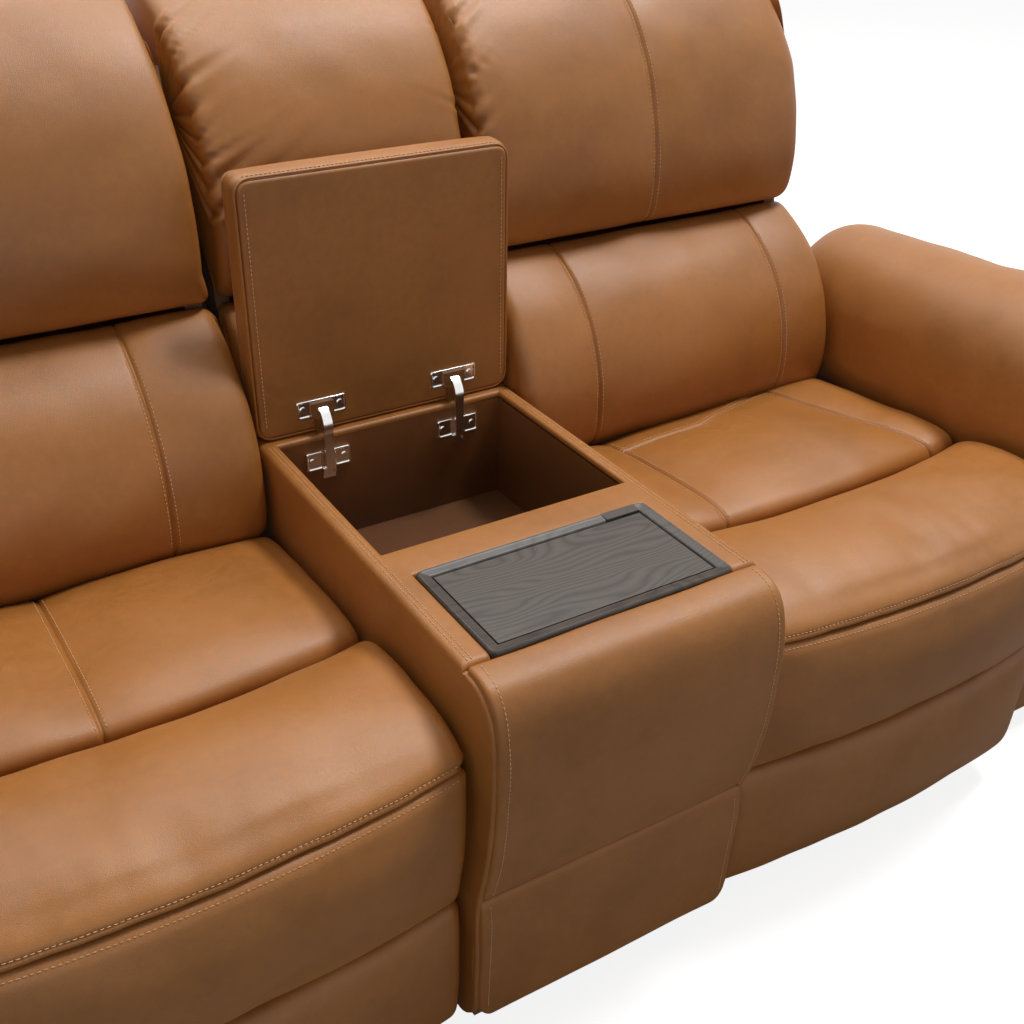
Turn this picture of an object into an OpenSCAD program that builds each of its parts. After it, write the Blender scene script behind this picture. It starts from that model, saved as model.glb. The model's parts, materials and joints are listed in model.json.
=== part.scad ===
// Two-seat reclining sofa with a fixed storage console between the seats.
// Millimetres. X runs to the viewer's right, Y towards the back, Z up.
// The origin is on the floor, at the middle of the sofa's outline.
// Left and right are the viewer's, facing the sofa.

/* [Overall] */
// Height of the undersides above the floor
leg_h = 38; // [30:1:60]
// Foot diameter
foot_d = 44; // [30:1:60]
// Gap between the console and each seat
side_gap = 4; // [2:1:8]
// Gap between a seat and its arm
arm_gap = 6; // [3:1:10]
// Thickness of frame boards
board_t = 18; // [12:1:24]
// Height of the crown of the backs
back_top = 1065; // [1000:5:1120]
// Depth of the front foam, ahead of the console's tray
nose_d = 62; // [40:1:90]
// From the bin's rear wall to the rearmost point of the backs
back_reach = 443; // [420:1:480]

/* [Console] */
// Width of the console
console_w = 360; // [300:5:420]
// Height of the console's rims
console_h = 540; // [520:5:580]
// Padding and leather on each side
side_panel_t = 10; // [6:1:14]
// Thickness of the console's side boards
console_board_t = 9; // [6:1:12]
// Thickness of the bin's lining
liner_t = 2; // [1:0.5:3]
// Thickness of the leather top cover
top_cover_t = 6; // [4:1:8]
// Height of the seam between the front cover and the kick panel
console_seam_h = 247; // [200:1:300]
// Length of the storage bin, front to back
bin_l = 290; // [240:5:330]
// Depth of the storage bin
bin_depth = 152; // [100:5:220]
// Leather bridge between the bin and the tray
bridge_w = 52; // [40:1:70]

/* [Tray] */
// Width of the tray
tray_w = 295; // [240:5:310]
// Length of the tray, front to back
tray_l = 163; // [120:1:180]
// Width of the tray's moulded rim
tray_rim_w = 14; // [10:1:18]
// Height of the tray above the leather
tray_proud = 3; // [1:0.5:5]
// Height of the tray's body
tray_t = 15; // [12:1:20]
// Thickness of the inset panel
tray_panel_t = 9; // [5:1:11]
// Thickness of the tray's floor
tray_floor_t = 3; // [2:0.5:4]
// Shadow gap around the inset panel
tray_gap = 1.5; // [0.5:0.5:3]
// Gap around the tray in the leather
tray_fit = 0.5; // [0.3:0.1:1]
// Gap at the ends of the end block
block_fit = 0.3; // [0.1:0.1:0.5]
// Length of the end block in the rear rim
tray_block_l = 45; // [30:1:60]

/* [Lid] */
// Length of the lid, hinge to front edge
lid_l = 330; // [310:1:345]
// Thickness of the lid
lid_t = 48; // [42:1:60]
// Rounding of the lid's edges
lid_round = 10; // [8:1:12]
// Running gap under the closed lid
lid_gap = 4; // [3.8:0.2:6]
// Gap under the open lid's lower edge
lid_edge_gap = 1; // [0.5:0.5:2]
// Room behind the open lid on the console's top
lid_rear_gap = 3; // [2:1:8]
// How far the open lid's lining stands behind the bin's rear wall
lid_setback = 11; // [8:1:14]
// Thickness of the lid's board
lid_board_t = 12; // [9:1:15]
// Thickness of the lid's lining
lid_liner_t = 3; // [2:0.5:4]

/* [Lid hinges] */
// Distance from the middle of the console to each hinge
hinge_x = 94; // [70:1:110]
// Width of the hinge arm's band
arm_band_w = 12; // [8:1:14]
// Thickness of the hinge arm's band
arm_band_t = 6; // [4:0.5:7]
// Mean radius of the gooseneck about its pin
neck_r = 25; // [22:0.5:26]
// Radius of the hinge pin
hinge_pin_r = 3; // [2:0.5:4]
// Width of the lid plate
cup_plate_w = 66; // [56:1:80]
// Height of the lid plate
cup_plate_h = 23; // [20:1:28]
// Thickness of the hinge plates
plate_t = 2; // [1.5:0.5:3]
// Width of the hole in the lid plate
cup_w = 26; // [22:1:30]
// Height of the lid plate above the hinge pin
cup_rise = 12.5; // [11:0.5:14]
// Room around the hinge arm in the lid
cup_clearance = 1; // [0.5:0.5:1.5]
// Width of the wall plate
wall_plate_w = 60; // [50:1:70]
// Height of the wall plate
wall_plate_h = 30; // [24:1:36]
// Drop from the rim to the top of the wall plate
wall_plate_drop = 16; // [10:1:24]
// Radius of a screw head
screw_r = 4; // [3:0.5:5]
// Height of a screw head
screw_head_t = 1.6; // [1:0.2:2.4]

/* [Seats] */
// Width of a seat
seat_w = 564; // [520:1:620]
// Height of the bolster's crest
seat_h = 469; // [450:1:490]
// Height of the seat cushion
cushion_h = 452; // [435:1:465]
// Height of the underside of the seat frame
frame_z = 340; // [335:1:350]
// Height of the seat frame's rails
frame_h = 45; // [35:1:50]
// Width of the seat frame's rails
frame_rail_w = 36; // [30:1:45]
// How far the seat's front stands behind the console's nose
seat_setback = 40; // [20:1:60]
// Length of the front bolster
bolster_l = 233; // [200:1:260]
// Length of the seat cushion behind the bolster
cushion_l = 299; // [280:1:305]
// Gap between seat cushion and bolster
crease_gap = 3.5; // [1:0.5:4]
// Wire radius of the seat springs
spring_r = 2; // [1.5:0.5:3]
// How far the middle of the seat's front bows out
seat_bow = 28; // [0:1:36]
// Number of springs under a seat
spring_n = 5; // [3:1:7]
// Swing of a spring's waves to each side
spring_swing = 22; // [14:1:28]
// From the cushion's rear edge to the back of the seat frame
frame_tail = 18; // [12:1:24]
// Set-in of the soft pieces from the frames' outlines
pad_side = 2; // [1:0.5:3]

/* [Backs] */
// Lean of the backs from upright, in degrees
lean = 12; // [8:1:16]
// From the bin's rear wall to the back frame's front, at hip height
back_plane_d = 63; // [55:1:80]
// Hip height, where the lean starts
hip_h = 420; // [410:1:430]
// Depth of the back frame
back_frame_t = 45; // [35:1:55]
// Length of the back frame above the hip
back_frame_l = 575; // [540:5:600]
// Thickness of the rear shell's skin
shell_t = 8; // [5:1:12]
// Depth of the rear shell below the hip
shell_drop = 210; // [180:5:215]
// Depth of the back frame below the hip
frame_drop = 32; // [20:1:40]
// Depth of the back's pivot below the hip
recline_drop = 60; // [55:1:66]
// Width of steel around a pivot's bore
eye_w = 7; // [5:0.5:9]
// Depth of the lumbar cushion below the hip
lumbar_drop = 9; // [4:1:14]
// Gap between a headrest and the shell under it
rest_gap = 0.5; // [0.2:0.1:2]
// From the headrest's crown back to the back's rearmost point
headrest_reach = 203; // [180:1:215]
// Fall of the crown from the headrest's outline, across the lean
crown_set = 60; // [40:1:80]
// Rounding of the rear shell's top edge
shell_round = 40; // [20:1:60]
// Thickness of the lumbar cushion
lumbar_t = 112; // [90:1:130]
// Height of the lumbar cushion
lumbar_h = 286; // [260:1:310]
// Thickness of the headrest pillow
headrest_t = 55; // [45:1:80]

/* [Centre back] */
// Width of the centre back
center_w = 346; // [320:1:350]
// How far the centre back stands behind the side backs
center_set = 25; // [15:1:40]
// Thickness of the centre back's lower pad
center_lower_t = 46; // [30:1:48]
// Thickness of the centre headrest
center_head_t = 66; // [50:1:80]

/* [Arms] */
// Width of an arm
arm_w = 231; // [200:1:260]
// Height of the arm's crest at the front
arm_h = 675; // [640:1:700]
// Height of the arm's crest at the rear
arm_rear_h = 640; // [600:1:680]
// Height of the arm's frame
arm_frame_h = 500; // [470:1:520]
// From the console's nose back to the arm's front
arm_front_d = 97; // [90:1:140]
// Length of the arm's pad
arm_pad_l = 590; // [540:5:620]
// Length of the arm's frame
arm_frame_l = 715; // [680:5:740]
// Set-in of the arm's frame behind the pad's inner bulge
arm_inset = 22; // [15:1:30]
// Set-in of the arm's outer board behind the pad's outer bulge
arm_outset = 35; // [30:1:45]
// From the arm's front to its front board
arm_front_t = 23; // [18:1:30]
// Thickness of the arm's outer and front panels
arm_panel_t = 10; // [6:1:14]

/* [Footrests] */
// Height of the seam between the bolster and the footrest
split_h = 433; // [420:1:440]
// Height of the seam between the footrest's two pads
footrest_seam_h = 236; // [200:1:260]
// Slope of the joint between bolster and footrest, in degrees
split_slope = 50; // [46:1:54]
// Running gap between the bolster and the footrest
split_gap = 1.5; // [1:0.5:3]
// Distance from the seat's front to the back of the footrest's board
footrest_d = 80; // [70:1:90]
// Set-in of the footrest from the seat's outer end
footrest_inset = 30; // [10:1:50]

/* [Base] */
// From the bin's rear wall to the rear of the recliners' plates
rail_d = 238; // [220:1:250]
// Height of the rear rail
rear_rail_h = 80; // [60:1:100]
// Thickness of the rear rail
rear_rail_t = 30; // [20:1:36]
// Set-in of a recliner's side plate from the seat's side
plate_x = 28; // [24:1:34]
// Thickness of the steel plates
steel_t = 4; // [3:0.5:5]
// Height of a side plate's foot rail
foot_rail_h = 40; // [30:1:44]
// Steel ahead of the drive tube
post_front_w = 34; // [26:1:40]
// Steel behind the drive tube
post_rear_w = 44; // [36:1:50]

/* [Recliner links] */
// Pin-to-pin length of a link
link_l = 190; // [170:1:200]
// Width of a link
link_w = 20; // [16:1:24]
// Thickness of a link
link_t = 5; // [4:0.5:6]
// Angle of the folded links from upright, in degrees
fold_angle = 10; // [8:1:14]
// Rise of the links' path, in degrees
tong_tilt = 3; // [0:1:6]
// Travel of the lever handle, in degrees
lever_travel = 65; // [50:1:68]
// Height of the drive tube above the floor
drive_z = 318; // [310:1:322]
// Radius of the drive tube
drive_r = 11; // [9:0.5:12]
// Radius of a link pin
link_pin_r = 5; // [4:0.5:6]
// Running clearance of a pin in its bore
bore_gap = 0.1; // [0.05:0.05:0.3]
// Radius of the back's pivot pins
recline_pin_r = 7; // [5:0.5:9]
// Gap between two layers of links
layer_gap = 2; // [1:0.5:3]
// Half the width of the lever's grip
grip_r = 7; // [5:0.5:9]
// Room between the lever's knob and the arm's pad
lever_room = 62; // [40:1:90]
// Angle of the resting lever handle above the floor, in degrees
lever_angle = 55; // [30:1:75]

/* [Hidden] */
$fn = 48;

leather = "#9c5f31";
leather_dark = "#8a5229";
plywood = "#c9a877";
walnut = "#5b524b";
walnut_dark = "#4a433e";
plated = "#c8cacd";
steel = "#6c7075";
black = "#26262a";

left = -1;
right = 1;
cut = 2;

// Depth chain, from the console's nose to the rearmost point
total_d = nose_d + tray_l + bridge_w + bin_l + back_reach;
front_y = -total_d / 2;
rear_y = total_d / 2;
tray_front_y = front_y + nose_d;
tray_rear_y = tray_front_y + tray_l;
bin_front_y = tray_rear_y + bridge_w;
bin_rear_y = bin_front_y + bin_l;
front_board_y = tray_front_y;

// Console
half_w = console_w / 2;
rim_w = side_panel_t + console_board_t + liner_t;
bin_half_w = half_w - rim_w;
top_z = console_h - top_cover_t;
bin_floor_z = console_h - bin_depth;
inner_half_w = half_w - side_panel_t;
tray_base_z = console_h + tray_proud - tray_t;
tray_seat_z = tray_base_z;
console_rear_y = bin_rear_y + lid_setback + lid_t + lid_rear_gap;

// Lid, drawn in its open pose
lid_front_y = bin_rear_y + lid_setback;
lid_bottom_z = console_h + lid_edge_gap;
pivot_z = lid_bottom_z + lid_round;
pivot_inset = pivot_z - console_h - lid_gap;
pivot_y = lid_front_y + pivot_inset;
cup_low_z = pivot_z + cup_rise;
cup_top_z = cup_low_z + cup_plate_h;
neck_front_r = neck_r + arm_band_t / 2;
neck_rear_r = neck_r - arm_band_t / 2;
cup_depth = neck_front_r + pivot_inset + cup_clearance;
slot_w = arm_band_w + 2 * cup_clearance;
wall_plate_top_z = console_h - wall_plate_drop;

// Seats
seat_x0 = half_w + side_gap;
seat_x1 = seat_x0 + seat_w;
seat_mid_x = (seat_x0 + seat_x1) / 2;
seat_front_y = front_y + seat_setback;
frame_top_z = frame_z + frame_h;
seat_frame_y = seat_front_y + footrest_d + crease_gap;
crease_y = seat_front_y + bolster_l;
cushion_rear_y = crease_y + crease_gap + cushion_l;

// Backs: u runs rearwards across the lean, w runs up along it
back_plane_y = bin_rear_y + back_plane_d;
function back_y(u, w) = back_plane_y + u * cos(lean) + w * sin(lean);
function back_z(u, w) = hip_h - u * sin(lean) + w * cos(lean);
function back_w(u, z) = (z - hip_h + u * sin(lean)) / cos(lean);
shell_top_w = back_frame_l - pad_side;
shell_u = shell_round
    + (rear_y - back_plane_y - shell_round - (shell_top_w - shell_round) * sin(lean)) / cos(lean);
shell_low_w = -shell_drop;
frame_low_w = -frame_drop;
recline_u = back_frame_t;
recline_w = -recline_drop;
recline_y = back_y(recline_u, recline_w);
recline_z = back_z(recline_u, recline_w);
lumbar_low_w = -lumbar_drop;
crease_w = lumbar_low_w + lumbar_h;
head_top_w = back_w(crown_set, back_top);
head_l = head_top_w - crease_w;
rest_w = shell_top_w + rest_gap;

// Arms
arm_x0 = seat_x1 + arm_gap;
arm_x1 = arm_x0 + arm_w;
arm_frame_x0 = arm_x0 + arm_inset;
arm_frame_x1 = arm_x1 - arm_outset;
arm_front_y = front_y + arm_front_d;
arm_board_y = arm_front_y + arm_front_t;
arm_frame_rear_y = arm_board_y + arm_frame_l;

// Footrests and links, in their folded pose
board_rear_y = seat_front_y + footrest_d;
board_front_y = board_rear_y - board_t;
fold_e = link_l * sin(fold_angle);
fold_n = link_l * cos(fold_angle);
bracket_d = link_w / 2 + fold_n * sin(tong_tilt) + layer_gap;
footrest_pin_y = board_rear_y + bracket_d;
tong_e = [-cos(tong_tilt), sin(tong_tilt)];
tong_n = [sin(tong_tilt), cos(tong_tilt)];
function tong_at(a, b) = a * tong_e + b * tong_n;
drive_y = footrest_pin_y + 2 * fold_e * cos(tong_tilt);
drive_at = [drive_y, drive_z];
slot_low = fold_n;
slot_high = link_l * cos(fold_angle + lever_travel);
layer_1_x = plate_x + steel_t + layer_gap;
layer_2_x = layer_1_x + link_t + layer_gap;
rail_rear_y = bin_rear_y + rail_d;
foot_rail_z = leg_h + foot_rail_h;
post_front_y = drive_y - post_front_w;
post_rear_y = drive_y + post_rear_w;
footrest_x0 = seat_x0 + pad_side;
footrest_x1 = seat_x1 - footrest_inset;

// Outlines of the soft pieces, as shares of their depth and height.
// Each point is [depth, height, rounding], the rounding a share of its shorter neighbour side.
console_nose_shares = [
    [0.16, 1.00], [0.42, 0.985], [0.68, 0.955], [0.88, 0.93], [1.00, 0.87], [0.985, 0.775],
    [0.86, 0.615], [0.70, 0.52], [0.53, 0.44], [0.47, 0.33], [0.42, 0.20], [0.36, 0.11], [0.16, 0.073],
];
lumbar_shares = [
    [0.00, 0.00, 0.1], [0.62, 0.00, 0.4], [0.94, 0.12, 0.4], [1.03, 0.36, 0.5],
    [0.88, 0.66, 0.5], [0.42, 0.91, 0.4], [0.12, 0.995, 0.5], [0.00, 0.995, 0.1],
];
headrest_shares = [
    [0.00, 0.01, 0.1], [0.42, 0.01, 0.4], [0.93, 0.12, 0.4], [1.02, 0.40, 0.5], [0.60, 0.66, 0.5],
    [-0.60, 0.92, 0.5], [-1.90, 1.02, 0.5], [-3.30, 0.88, 0.5],
];
center_head_shares = [
    [0.00, 0.01, 0.1], [0.45, 0.01, 0.4], [0.94, 0.14, 0.4], [1.02, 0.42, 0.5], [0.62, 0.70, 0.5],
    [-0.40, 0.94, 0.5], [-1.30, 1.00, 0.5], [-2.30, 0.88, 0.5],
];
center_lower_shares = [
    [0.00, 0.00, 0.1], [0.75, 0.00, 0.4], [1.00, 0.12, 0.5], [1.00, 0.75, 0.5],
    [0.55, 0.985, 0.4], [0.00, 0.985, 0.1],
];
cushion_shares = [
    [0.00, 0.00, 0.1], [0.00, 0.88, 0.4], [0.10, 1.00, 0.5], [0.55, 1.00, 0.5],
    [0.88, 0.82, 0.5], [1.00, 0.45, 0.5], [0.97, 0.00, 0.1],
];
bolster_shares = [
    [0.085, 0.62, 0.3], [0.20, 0.84, 0.5], [0.42, 0.98, 0.5], [0.62, 1.00, 0.5],
    [0.92, 0.90, 0.4], [1.00, 0.70, 0.3], [1.00, 0.00, 0.1],
];
upper_pad_shares = [
    [0.00, 0.00, 0.1], [0.60, 0.00, 0.4], [0.93, 0.26, 0.4], [1.02, 0.62, 0.5], [0.86, 0.93, 0.4],
];
lower_pad_shares = [
    [0.00, 0.00, 0.1], [0.50, 0.00, 0.5], [0.68, 0.14, 0.5], [0.76, 0.60, 0.5],
    [0.80, 0.86, 0.5], [0.60, 1.00, 0.4], [0.00, 1.00, 0.1],
];
arm_pad_shares = [
    [0.02, -0.40, 0.4], [-0.01, 0.12, 0.5], [0.08, 0.62, 0.5], [0.30, 0.96, 0.5],
    [0.62, 0.99, 0.5], [0.92, 0.66, 0.5], [1.005, 0.15, 0.5], [0.96, 0.00, 0.3],
];
arm_skirt_share = 0.55;
bolster_front_share = 0.16;

// Places of the cross sections along a soft piece, as shares of its length
plain_section_shares = [0, 0.012, 0.05, 0.13, 0.30, 0.5, 0.70, 0.87, 0.95, 0.988, 1];
pad_section_shares = [0, 0.02, 0.08, 0.25, 0.5, 0.75, 0.92, 0.98, 1];
lumbar_section_shares = [0, 0.012, 0.05, 0.13, 0.19, 0.21, 0.23, 0.5, 0.77, 0.79, 0.81, 0.87, 0.95, 0.988, 1];
middle_section_shares = [0, 0.012, 0.05, 0.13, 0.30, 0.485, 0.5, 0.515, 0.70, 0.87, 0.95, 0.988, 1];
lumbar_seam_shares = [0.21, 0.79];
middle_seam_shares = [0.5];
no_seam_shares = [];
seam_depth_share = 0.05;
seam_width_share = 0.012;

// Curves and sweeps
function unit(v) = v / norm(v);
function between(a, b, t) = a + (b - a) * t;
function rounded_corner(before, at, after, share, steps) =
    let (reach = share * min(norm(before - at), norm(after - at)))
    let (p0 = at + unit(before - at) * reach)
    let (p1 = at + unit(after - at) * reach)
    [for (k = [0 : steps]) between(between(p0, at, k / steps), between(at, p1, k / steps), k / steps)];
function flat_point(p) = [p[0], p[1]];
function soft_outline(points, steps) =
    let (n = len(points))
    [for (i = [0 : n - 1]) each (
        points[i][2] <= 0.1
        ? [flat_point(points[i])]
        : rounded_corner(flat_point(points[(i + n - 1) % n]), flat_point(points[i]),
            flat_point(points[(i + 1) % n]), points[i][2] * 0.98, steps)
    )];
function fitted(shares, origin, size) =
    [for (p = shares) [origin[0] + p[0] * size[0], origin[1] + p[1] * size[1], p[2]]];
function end_fall(t, edge) = edge + (1 - edge) * pow(1 - pow(abs(2 * t - 1), 10), 1 / 3);
function seam_fall(t, seams) =
    1 - seam_depth_share * (len([for (c = seams) if (abs(t - c) < seam_width_share / 2) c]) > 0 ? 1 : 0);

// The bow of a seat's front: full at the middle of the seat and on its upper and front faces,
// none at its sides, at the footrest's board and at the cushion's rear
function share_of(a, b, v) = min(1, max(0, (v - a) / (b - a)));
function bow_along(x) = 1 - pow(abs(2 * (x - seat_x0) / seat_w - 1), 2);
function bow_across(y, z) =
    y > crease_y ? share_of(frame_top_z, cushion_h, z) * share_of(cushion_rear_y, crease_y, y)
    : y > board_front_y ? share_of(frame_top_z, cushion_h, z)
    : max(share_of(board_front_y, seat_front_y, y), share_of(split_h + split_gap * 2, seat_h, z));
function bowed(p, bow) = [p[0], p[1] - bow * bow_along(p[0]) * bow_across(p[1], p[2]), p[2]];

// A padded piece: one outline swept from x0 to x1, drawn in at its ends and at its seams
module soft_piece(outline, x0, x1, sections, seams, anchor, edges, bow = 0, taper = 0) {
    n = len(outline);
    m = len(sections);
    points = [
        for (t = sections)
            let (fall_0 = end_fall(t, edges[0]) * seam_fall(t, seams))
            let (fall_1 = end_fall(t, edges[1]) * (1 - taper * t))
            for (p = outline) bowed([
                x0 + (x1 - x0) * t,
                anchor[0] + (p[0] - anchor[0]) * fall_0,
                anchor[1] + (p[1] - anchor[1]) * fall_1,
            ], bow)
    ];
    first = [for (i = [0 : n - 1]) i];
    last = [for (i = [n - 1 : -1 : 0]) (m - 1) * n + i];
    sides = [
        for (j = [0 : m - 2])
            for (i = [0 : n - 1])
                let (a = j * n + i, b = j * n + (i + 1) % n)
                for (f = [[a, a + n, b], [b, a + n, b + n]]) f
    ];
    polyhedron(points = points, faces = concat([first, last], sides), convexity = 6);
}

// Shapes drawn in the side view: children are drawn with Y across and Z up, and given a width along X
module side_slab(x0, x1) {
    translate([x0, 0, 0]) rotate([90, 0, 90]) linear_extrude(x1 - x0) children();
}

module block(x0, x1, y0, y1, z0, z1) {
    translate([x0, y0, z0]) cube([x1 - x0, y1 - y0, z1 - z0]);
}

module both_sides() {
    children();
    mirror([1, 0, 0]) children();
}

module on_side(side) {
    mirror([side == left ? 1 : 0, 0, 0]) children();
}

// Copies of a piece at both ends of a right-hand seat
module seat_ends() {
    children();
    translate([2 * seat_mid_x, 0, 0]) mirror([1, 0, 0]) children();
}

// The back's own frame: Y becomes u and Z becomes w
module on_back() {
    translate([0, back_plane_y, hip_h]) rotate([-lean, 0, 0]) children();
}

// Console

function nose_outline(low_z, high_z) =
    [for (p = console_nose_shares) if (p[1] * console_h > low_z && p[1] * console_h < high_z)
        [front_board_y - p[0] * nose_d, p[1] * console_h]];
function nose_reach_at(z) =
    let (s = console_nose_shares, h = z / console_h)
    let (k = [for (i = [0 : len(s) - 2]) if (h <= s[i][1] && h >= s[i + 1][1]) i])
    len(k) == 0 ? s[len(s) - 1][0]
    : between(s[k[0]][0], s[k[0] + 1][0], (s[k[0]][1] - h) / (s[k[0]][1] - s[k[0] + 1][1]));
function nose_y(z) = front_board_y - nose_d * nose_reach_at(z);

module nose_profile(low_z, high_z, back_y) {
    polygon(concat(
        [[back_y, high_z], [nose_y(high_z), high_z]],
        nose_outline(low_z, high_z),
        [[nose_y(low_z), low_z], [back_y, low_z]]
    ));
}

module console_side_panels() {
    color(leather) both_sides()
        side_slab(inner_half_w, half_w) nose_profile(leg_h, top_z, console_rear_y);
}

module console_front_cover() {
    color(leather) side_slab(-inner_half_w, inner_half_w)
        nose_profile(console_seam_h, top_z, front_board_y);
}

module console_kick_panel() {
    color(leather) side_slab(-inner_half_w, inner_half_w)
        nose_profile(leg_h + board_t, console_seam_h, front_board_y);
}

module console_top_cover() {
    color(leather) difference() {
        side_slab(-half_w, half_w) nose_profile(top_z, console_h, console_rear_y);
        block(-bin_half_w, bin_half_w, bin_front_y, bin_rear_y, top_z - cut, console_h + cut);
        block(-tray_w / 2 - tray_fit, tray_w / 2 + tray_fit, tray_front_y - tray_fit, tray_rear_y + tray_fit,
            top_z - cut, console_h + cut);
    }
}

module console_carcass() {
    inner = inner_half_w - console_board_t;
    wall = console_board_t + liner_t;
    color(plywood) {
        both_sides() block(inner, inner_half_w, front_board_y, console_rear_y, leg_h, top_z);
        block(-inner, inner, front_board_y, front_board_y + board_t, leg_h, tray_seat_z);
        block(-inner, inner, front_board_y + board_t, bin_front_y - wall,
            tray_seat_z - console_board_t, tray_seat_z);
        block(-inner, inner, bin_front_y - wall, bin_front_y - liner_t, bin_floor_z - liner_t, top_z);
        block(-inner, inner, bin_rear_y + liner_t, bin_rear_y + liner_t + board_t,
            bin_floor_z - liner_t, top_z);
        block(-inner, inner, bin_front_y - wall, bin_rear_y + liner_t + board_t,
            bin_floor_z - liner_t - console_board_t, bin_floor_z - liner_t);
        block(-inner, inner, front_board_y + board_t, console_rear_y, leg_h, leg_h + board_t);
    }
}

module bin_liner() {
    color(leather_dark) difference() {
        block(-bin_half_w - liner_t, bin_half_w + liner_t, bin_front_y - liner_t, bin_rear_y + liner_t,
            bin_floor_z - liner_t, top_z);
        block(-bin_half_w, bin_half_w, bin_front_y, bin_rear_y, bin_floor_z, top_z + cut);
    }
}

module tray_frame() {
    x = tray_w / 2;
    top = console_h + tray_proud;
    color(walnut_dark) difference() {
        block(-x, x, tray_front_y, tray_rear_y, tray_base_z, top);
        block(-x + tray_rim_w, x - tray_rim_w, tray_front_y + tray_rim_w, tray_rear_y - tray_rim_w,
            tray_base_z + tray_floor_t, top + cut);
        block(x - tray_rim_w - tray_block_l, x - tray_rim_w, tray_rear_y - tray_rim_w - cut,
            tray_rear_y + cut, tray_base_z + tray_floor_t, top + cut);
    }
}

module tray_panel() {
    x = tray_w / 2 - tray_rim_w - tray_gap;
    low = tray_base_z + tray_floor_t;
    color(walnut) block(-x, x, tray_front_y + tray_rim_w + tray_gap, tray_rear_y - tray_rim_w - tray_gap,
        low, low + tray_panel_t);
}

module tray_end_block() {
    x1 = tray_w / 2 - tray_rim_w;
    color(walnut) block(x1 - tray_block_l + block_fit, x1 - block_fit, tray_rear_y - tray_rim_w, tray_rear_y,
        tray_base_z + tray_floor_t, console_h + tray_proud);
}

// Lid hinges

module at_hinges() {
    for (x = [-hinge_x, hinge_x]) translate([x, 0, 0]) children();
}

module screw_head(x, z, y) {
    translate([x, y, z]) rotate([90, 0, 0]) cylinder(r = screw_r, h = screw_head_t);
}

module hinge_wall_plates() {
    slot = arm_band_w / 2 + cup_clearance / 2;
    low = wall_plate_top_z - wall_plate_h;
    wing_high = wall_plate_top_z - wall_plate_h / 6;
    color(plated) at_hinges() {
        block(-wall_plate_w / 2, wall_plate_w / 2, bin_rear_y - plate_t, bin_rear_y, low, wing_high);
        block(-slot - plate_t, slot + plate_t, bin_rear_y - plate_t, bin_rear_y,
            low - wall_plate_h / 2, low);
        both_sides() block(slot, slot + plate_t, bin_rear_y - plate_t - arm_band_t / 2, bin_rear_y - plate_t,
            low - wall_plate_h / 4, low);
    }
}

module wall_plate_screws() {
    z = wall_plate_top_z - wall_plate_h * 0.6;
    color(plated) at_hinges()
        for (s = [-1, 1]) screw_head(s * (wall_plate_w / 2 - screw_r * 2), z, bin_rear_y - plate_t);
}

// Gooseneck band: an arc about the pin, an inward end with the pin's eye, and a foot down the wall plate
module hinge_arms() {
    foot_z = wall_plate_top_z - wall_plate_h;
    foot_rear_y = bin_rear_y - plate_t;
    eye_r = hinge_pin_r + arm_band_t / 2;
    color(plated) at_hinges() difference() {
        side_slab(-arm_band_w / 2, arm_band_w / 2) union() {
            translate([pivot_y, pivot_z]) {
                intersection() {
                    difference() {
                        circle(r = neck_front_r);
                        circle(r = neck_rear_r);
                    }
                    translate([-2 * neck_r, -pivot_inset]) square([2 * neck_r + eye_r, 4 * neck_r]);
                }
                circle(r = eye_r);
                square([eye_r, neck_r]);
            }
            neck_y = pivot_y - sqrt(pow(neck_front_r, 2) - pow(pivot_inset, 2));
            translate([neck_y, foot_z]) square([foot_rear_y - neck_y, pivot_z - pivot_inset - foot_z]);
        }
        translate([0, pivot_y, pivot_z]) rotate([0, 90, 0])
            cylinder(r = hinge_pin_r + bore_gap / 2, h = arm_band_w * 2, center = true);
    }
}

// The space inside the lid that the hinge arms need, from the lining inwards
module cup_space(side_room, depth_room) {
    low = pivot_z - hinge_pin_r - arm_band_t / 2 - cup_clearance - side_room;
    high = pivot_z + neck_front_r + cup_clearance + side_room;
    rear = lid_front_y + cup_depth + depth_room;
    block(-cup_w / 2 - side_room, cup_w / 2 + side_room, lid_front_y - cut, rear,
        cup_low_z - side_room, high);
    block(-slot_w / 2 - side_room, slot_w / 2 + side_room, lid_front_y - cut, rear, low, cup_low_z);
}

module lid_hinge_cups() {
    rim = [cup_plate_w / 2, cup_low_z, cup_top_z];
    color(plated) at_hinges() difference() {
        union() {
            intersection() {
                cup_space(plate_t, plate_t);
                block(-cup_w, cup_w, lid_front_y + lid_liner_t, pivot_y + lid_t, 0, 2 * console_h);
            }
            block(-rim[0], rim[0], lid_front_y - plate_t, lid_front_y, rim[1], rim[2]);
            block(-cup_w / 2 - plate_t, cup_w / 2 + plate_t, lid_front_y, lid_front_y + lid_liner_t,
                rim[1] - plate_t, pivot_z + neck_front_r + cup_clearance + plate_t);
        }
        translate([0, -2 * cut, 0]) cup_space(0, 2 * cut);
    }
}

module lid_hinge_fasteners() {
    z = (cup_low_z + cup_top_z) / 2;
    color(plated) at_hinges() {
        for (s = [-1, 1]) screw_head(s * (cup_plate_w / 2 - screw_r * 2), z, lid_front_y - plate_t);
        translate([0, pivot_y, pivot_z]) rotate([0, 90, 0])
            cylinder(r = hinge_pin_r, h = slot_w, center = true);
    }
}

// Lid: a rounded pad around a board, with a lining on the face that closes on the rims
module rounded_rectangle(w, h, r) {
    translate([r, 0]) square([w - 2 * r, h]);
    translate([0, r]) square([w, h - 2 * r]);
    for (x = [r, w - r]) for (y = [r, h - r]) translate([x, y]) circle(r = r);
}

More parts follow.
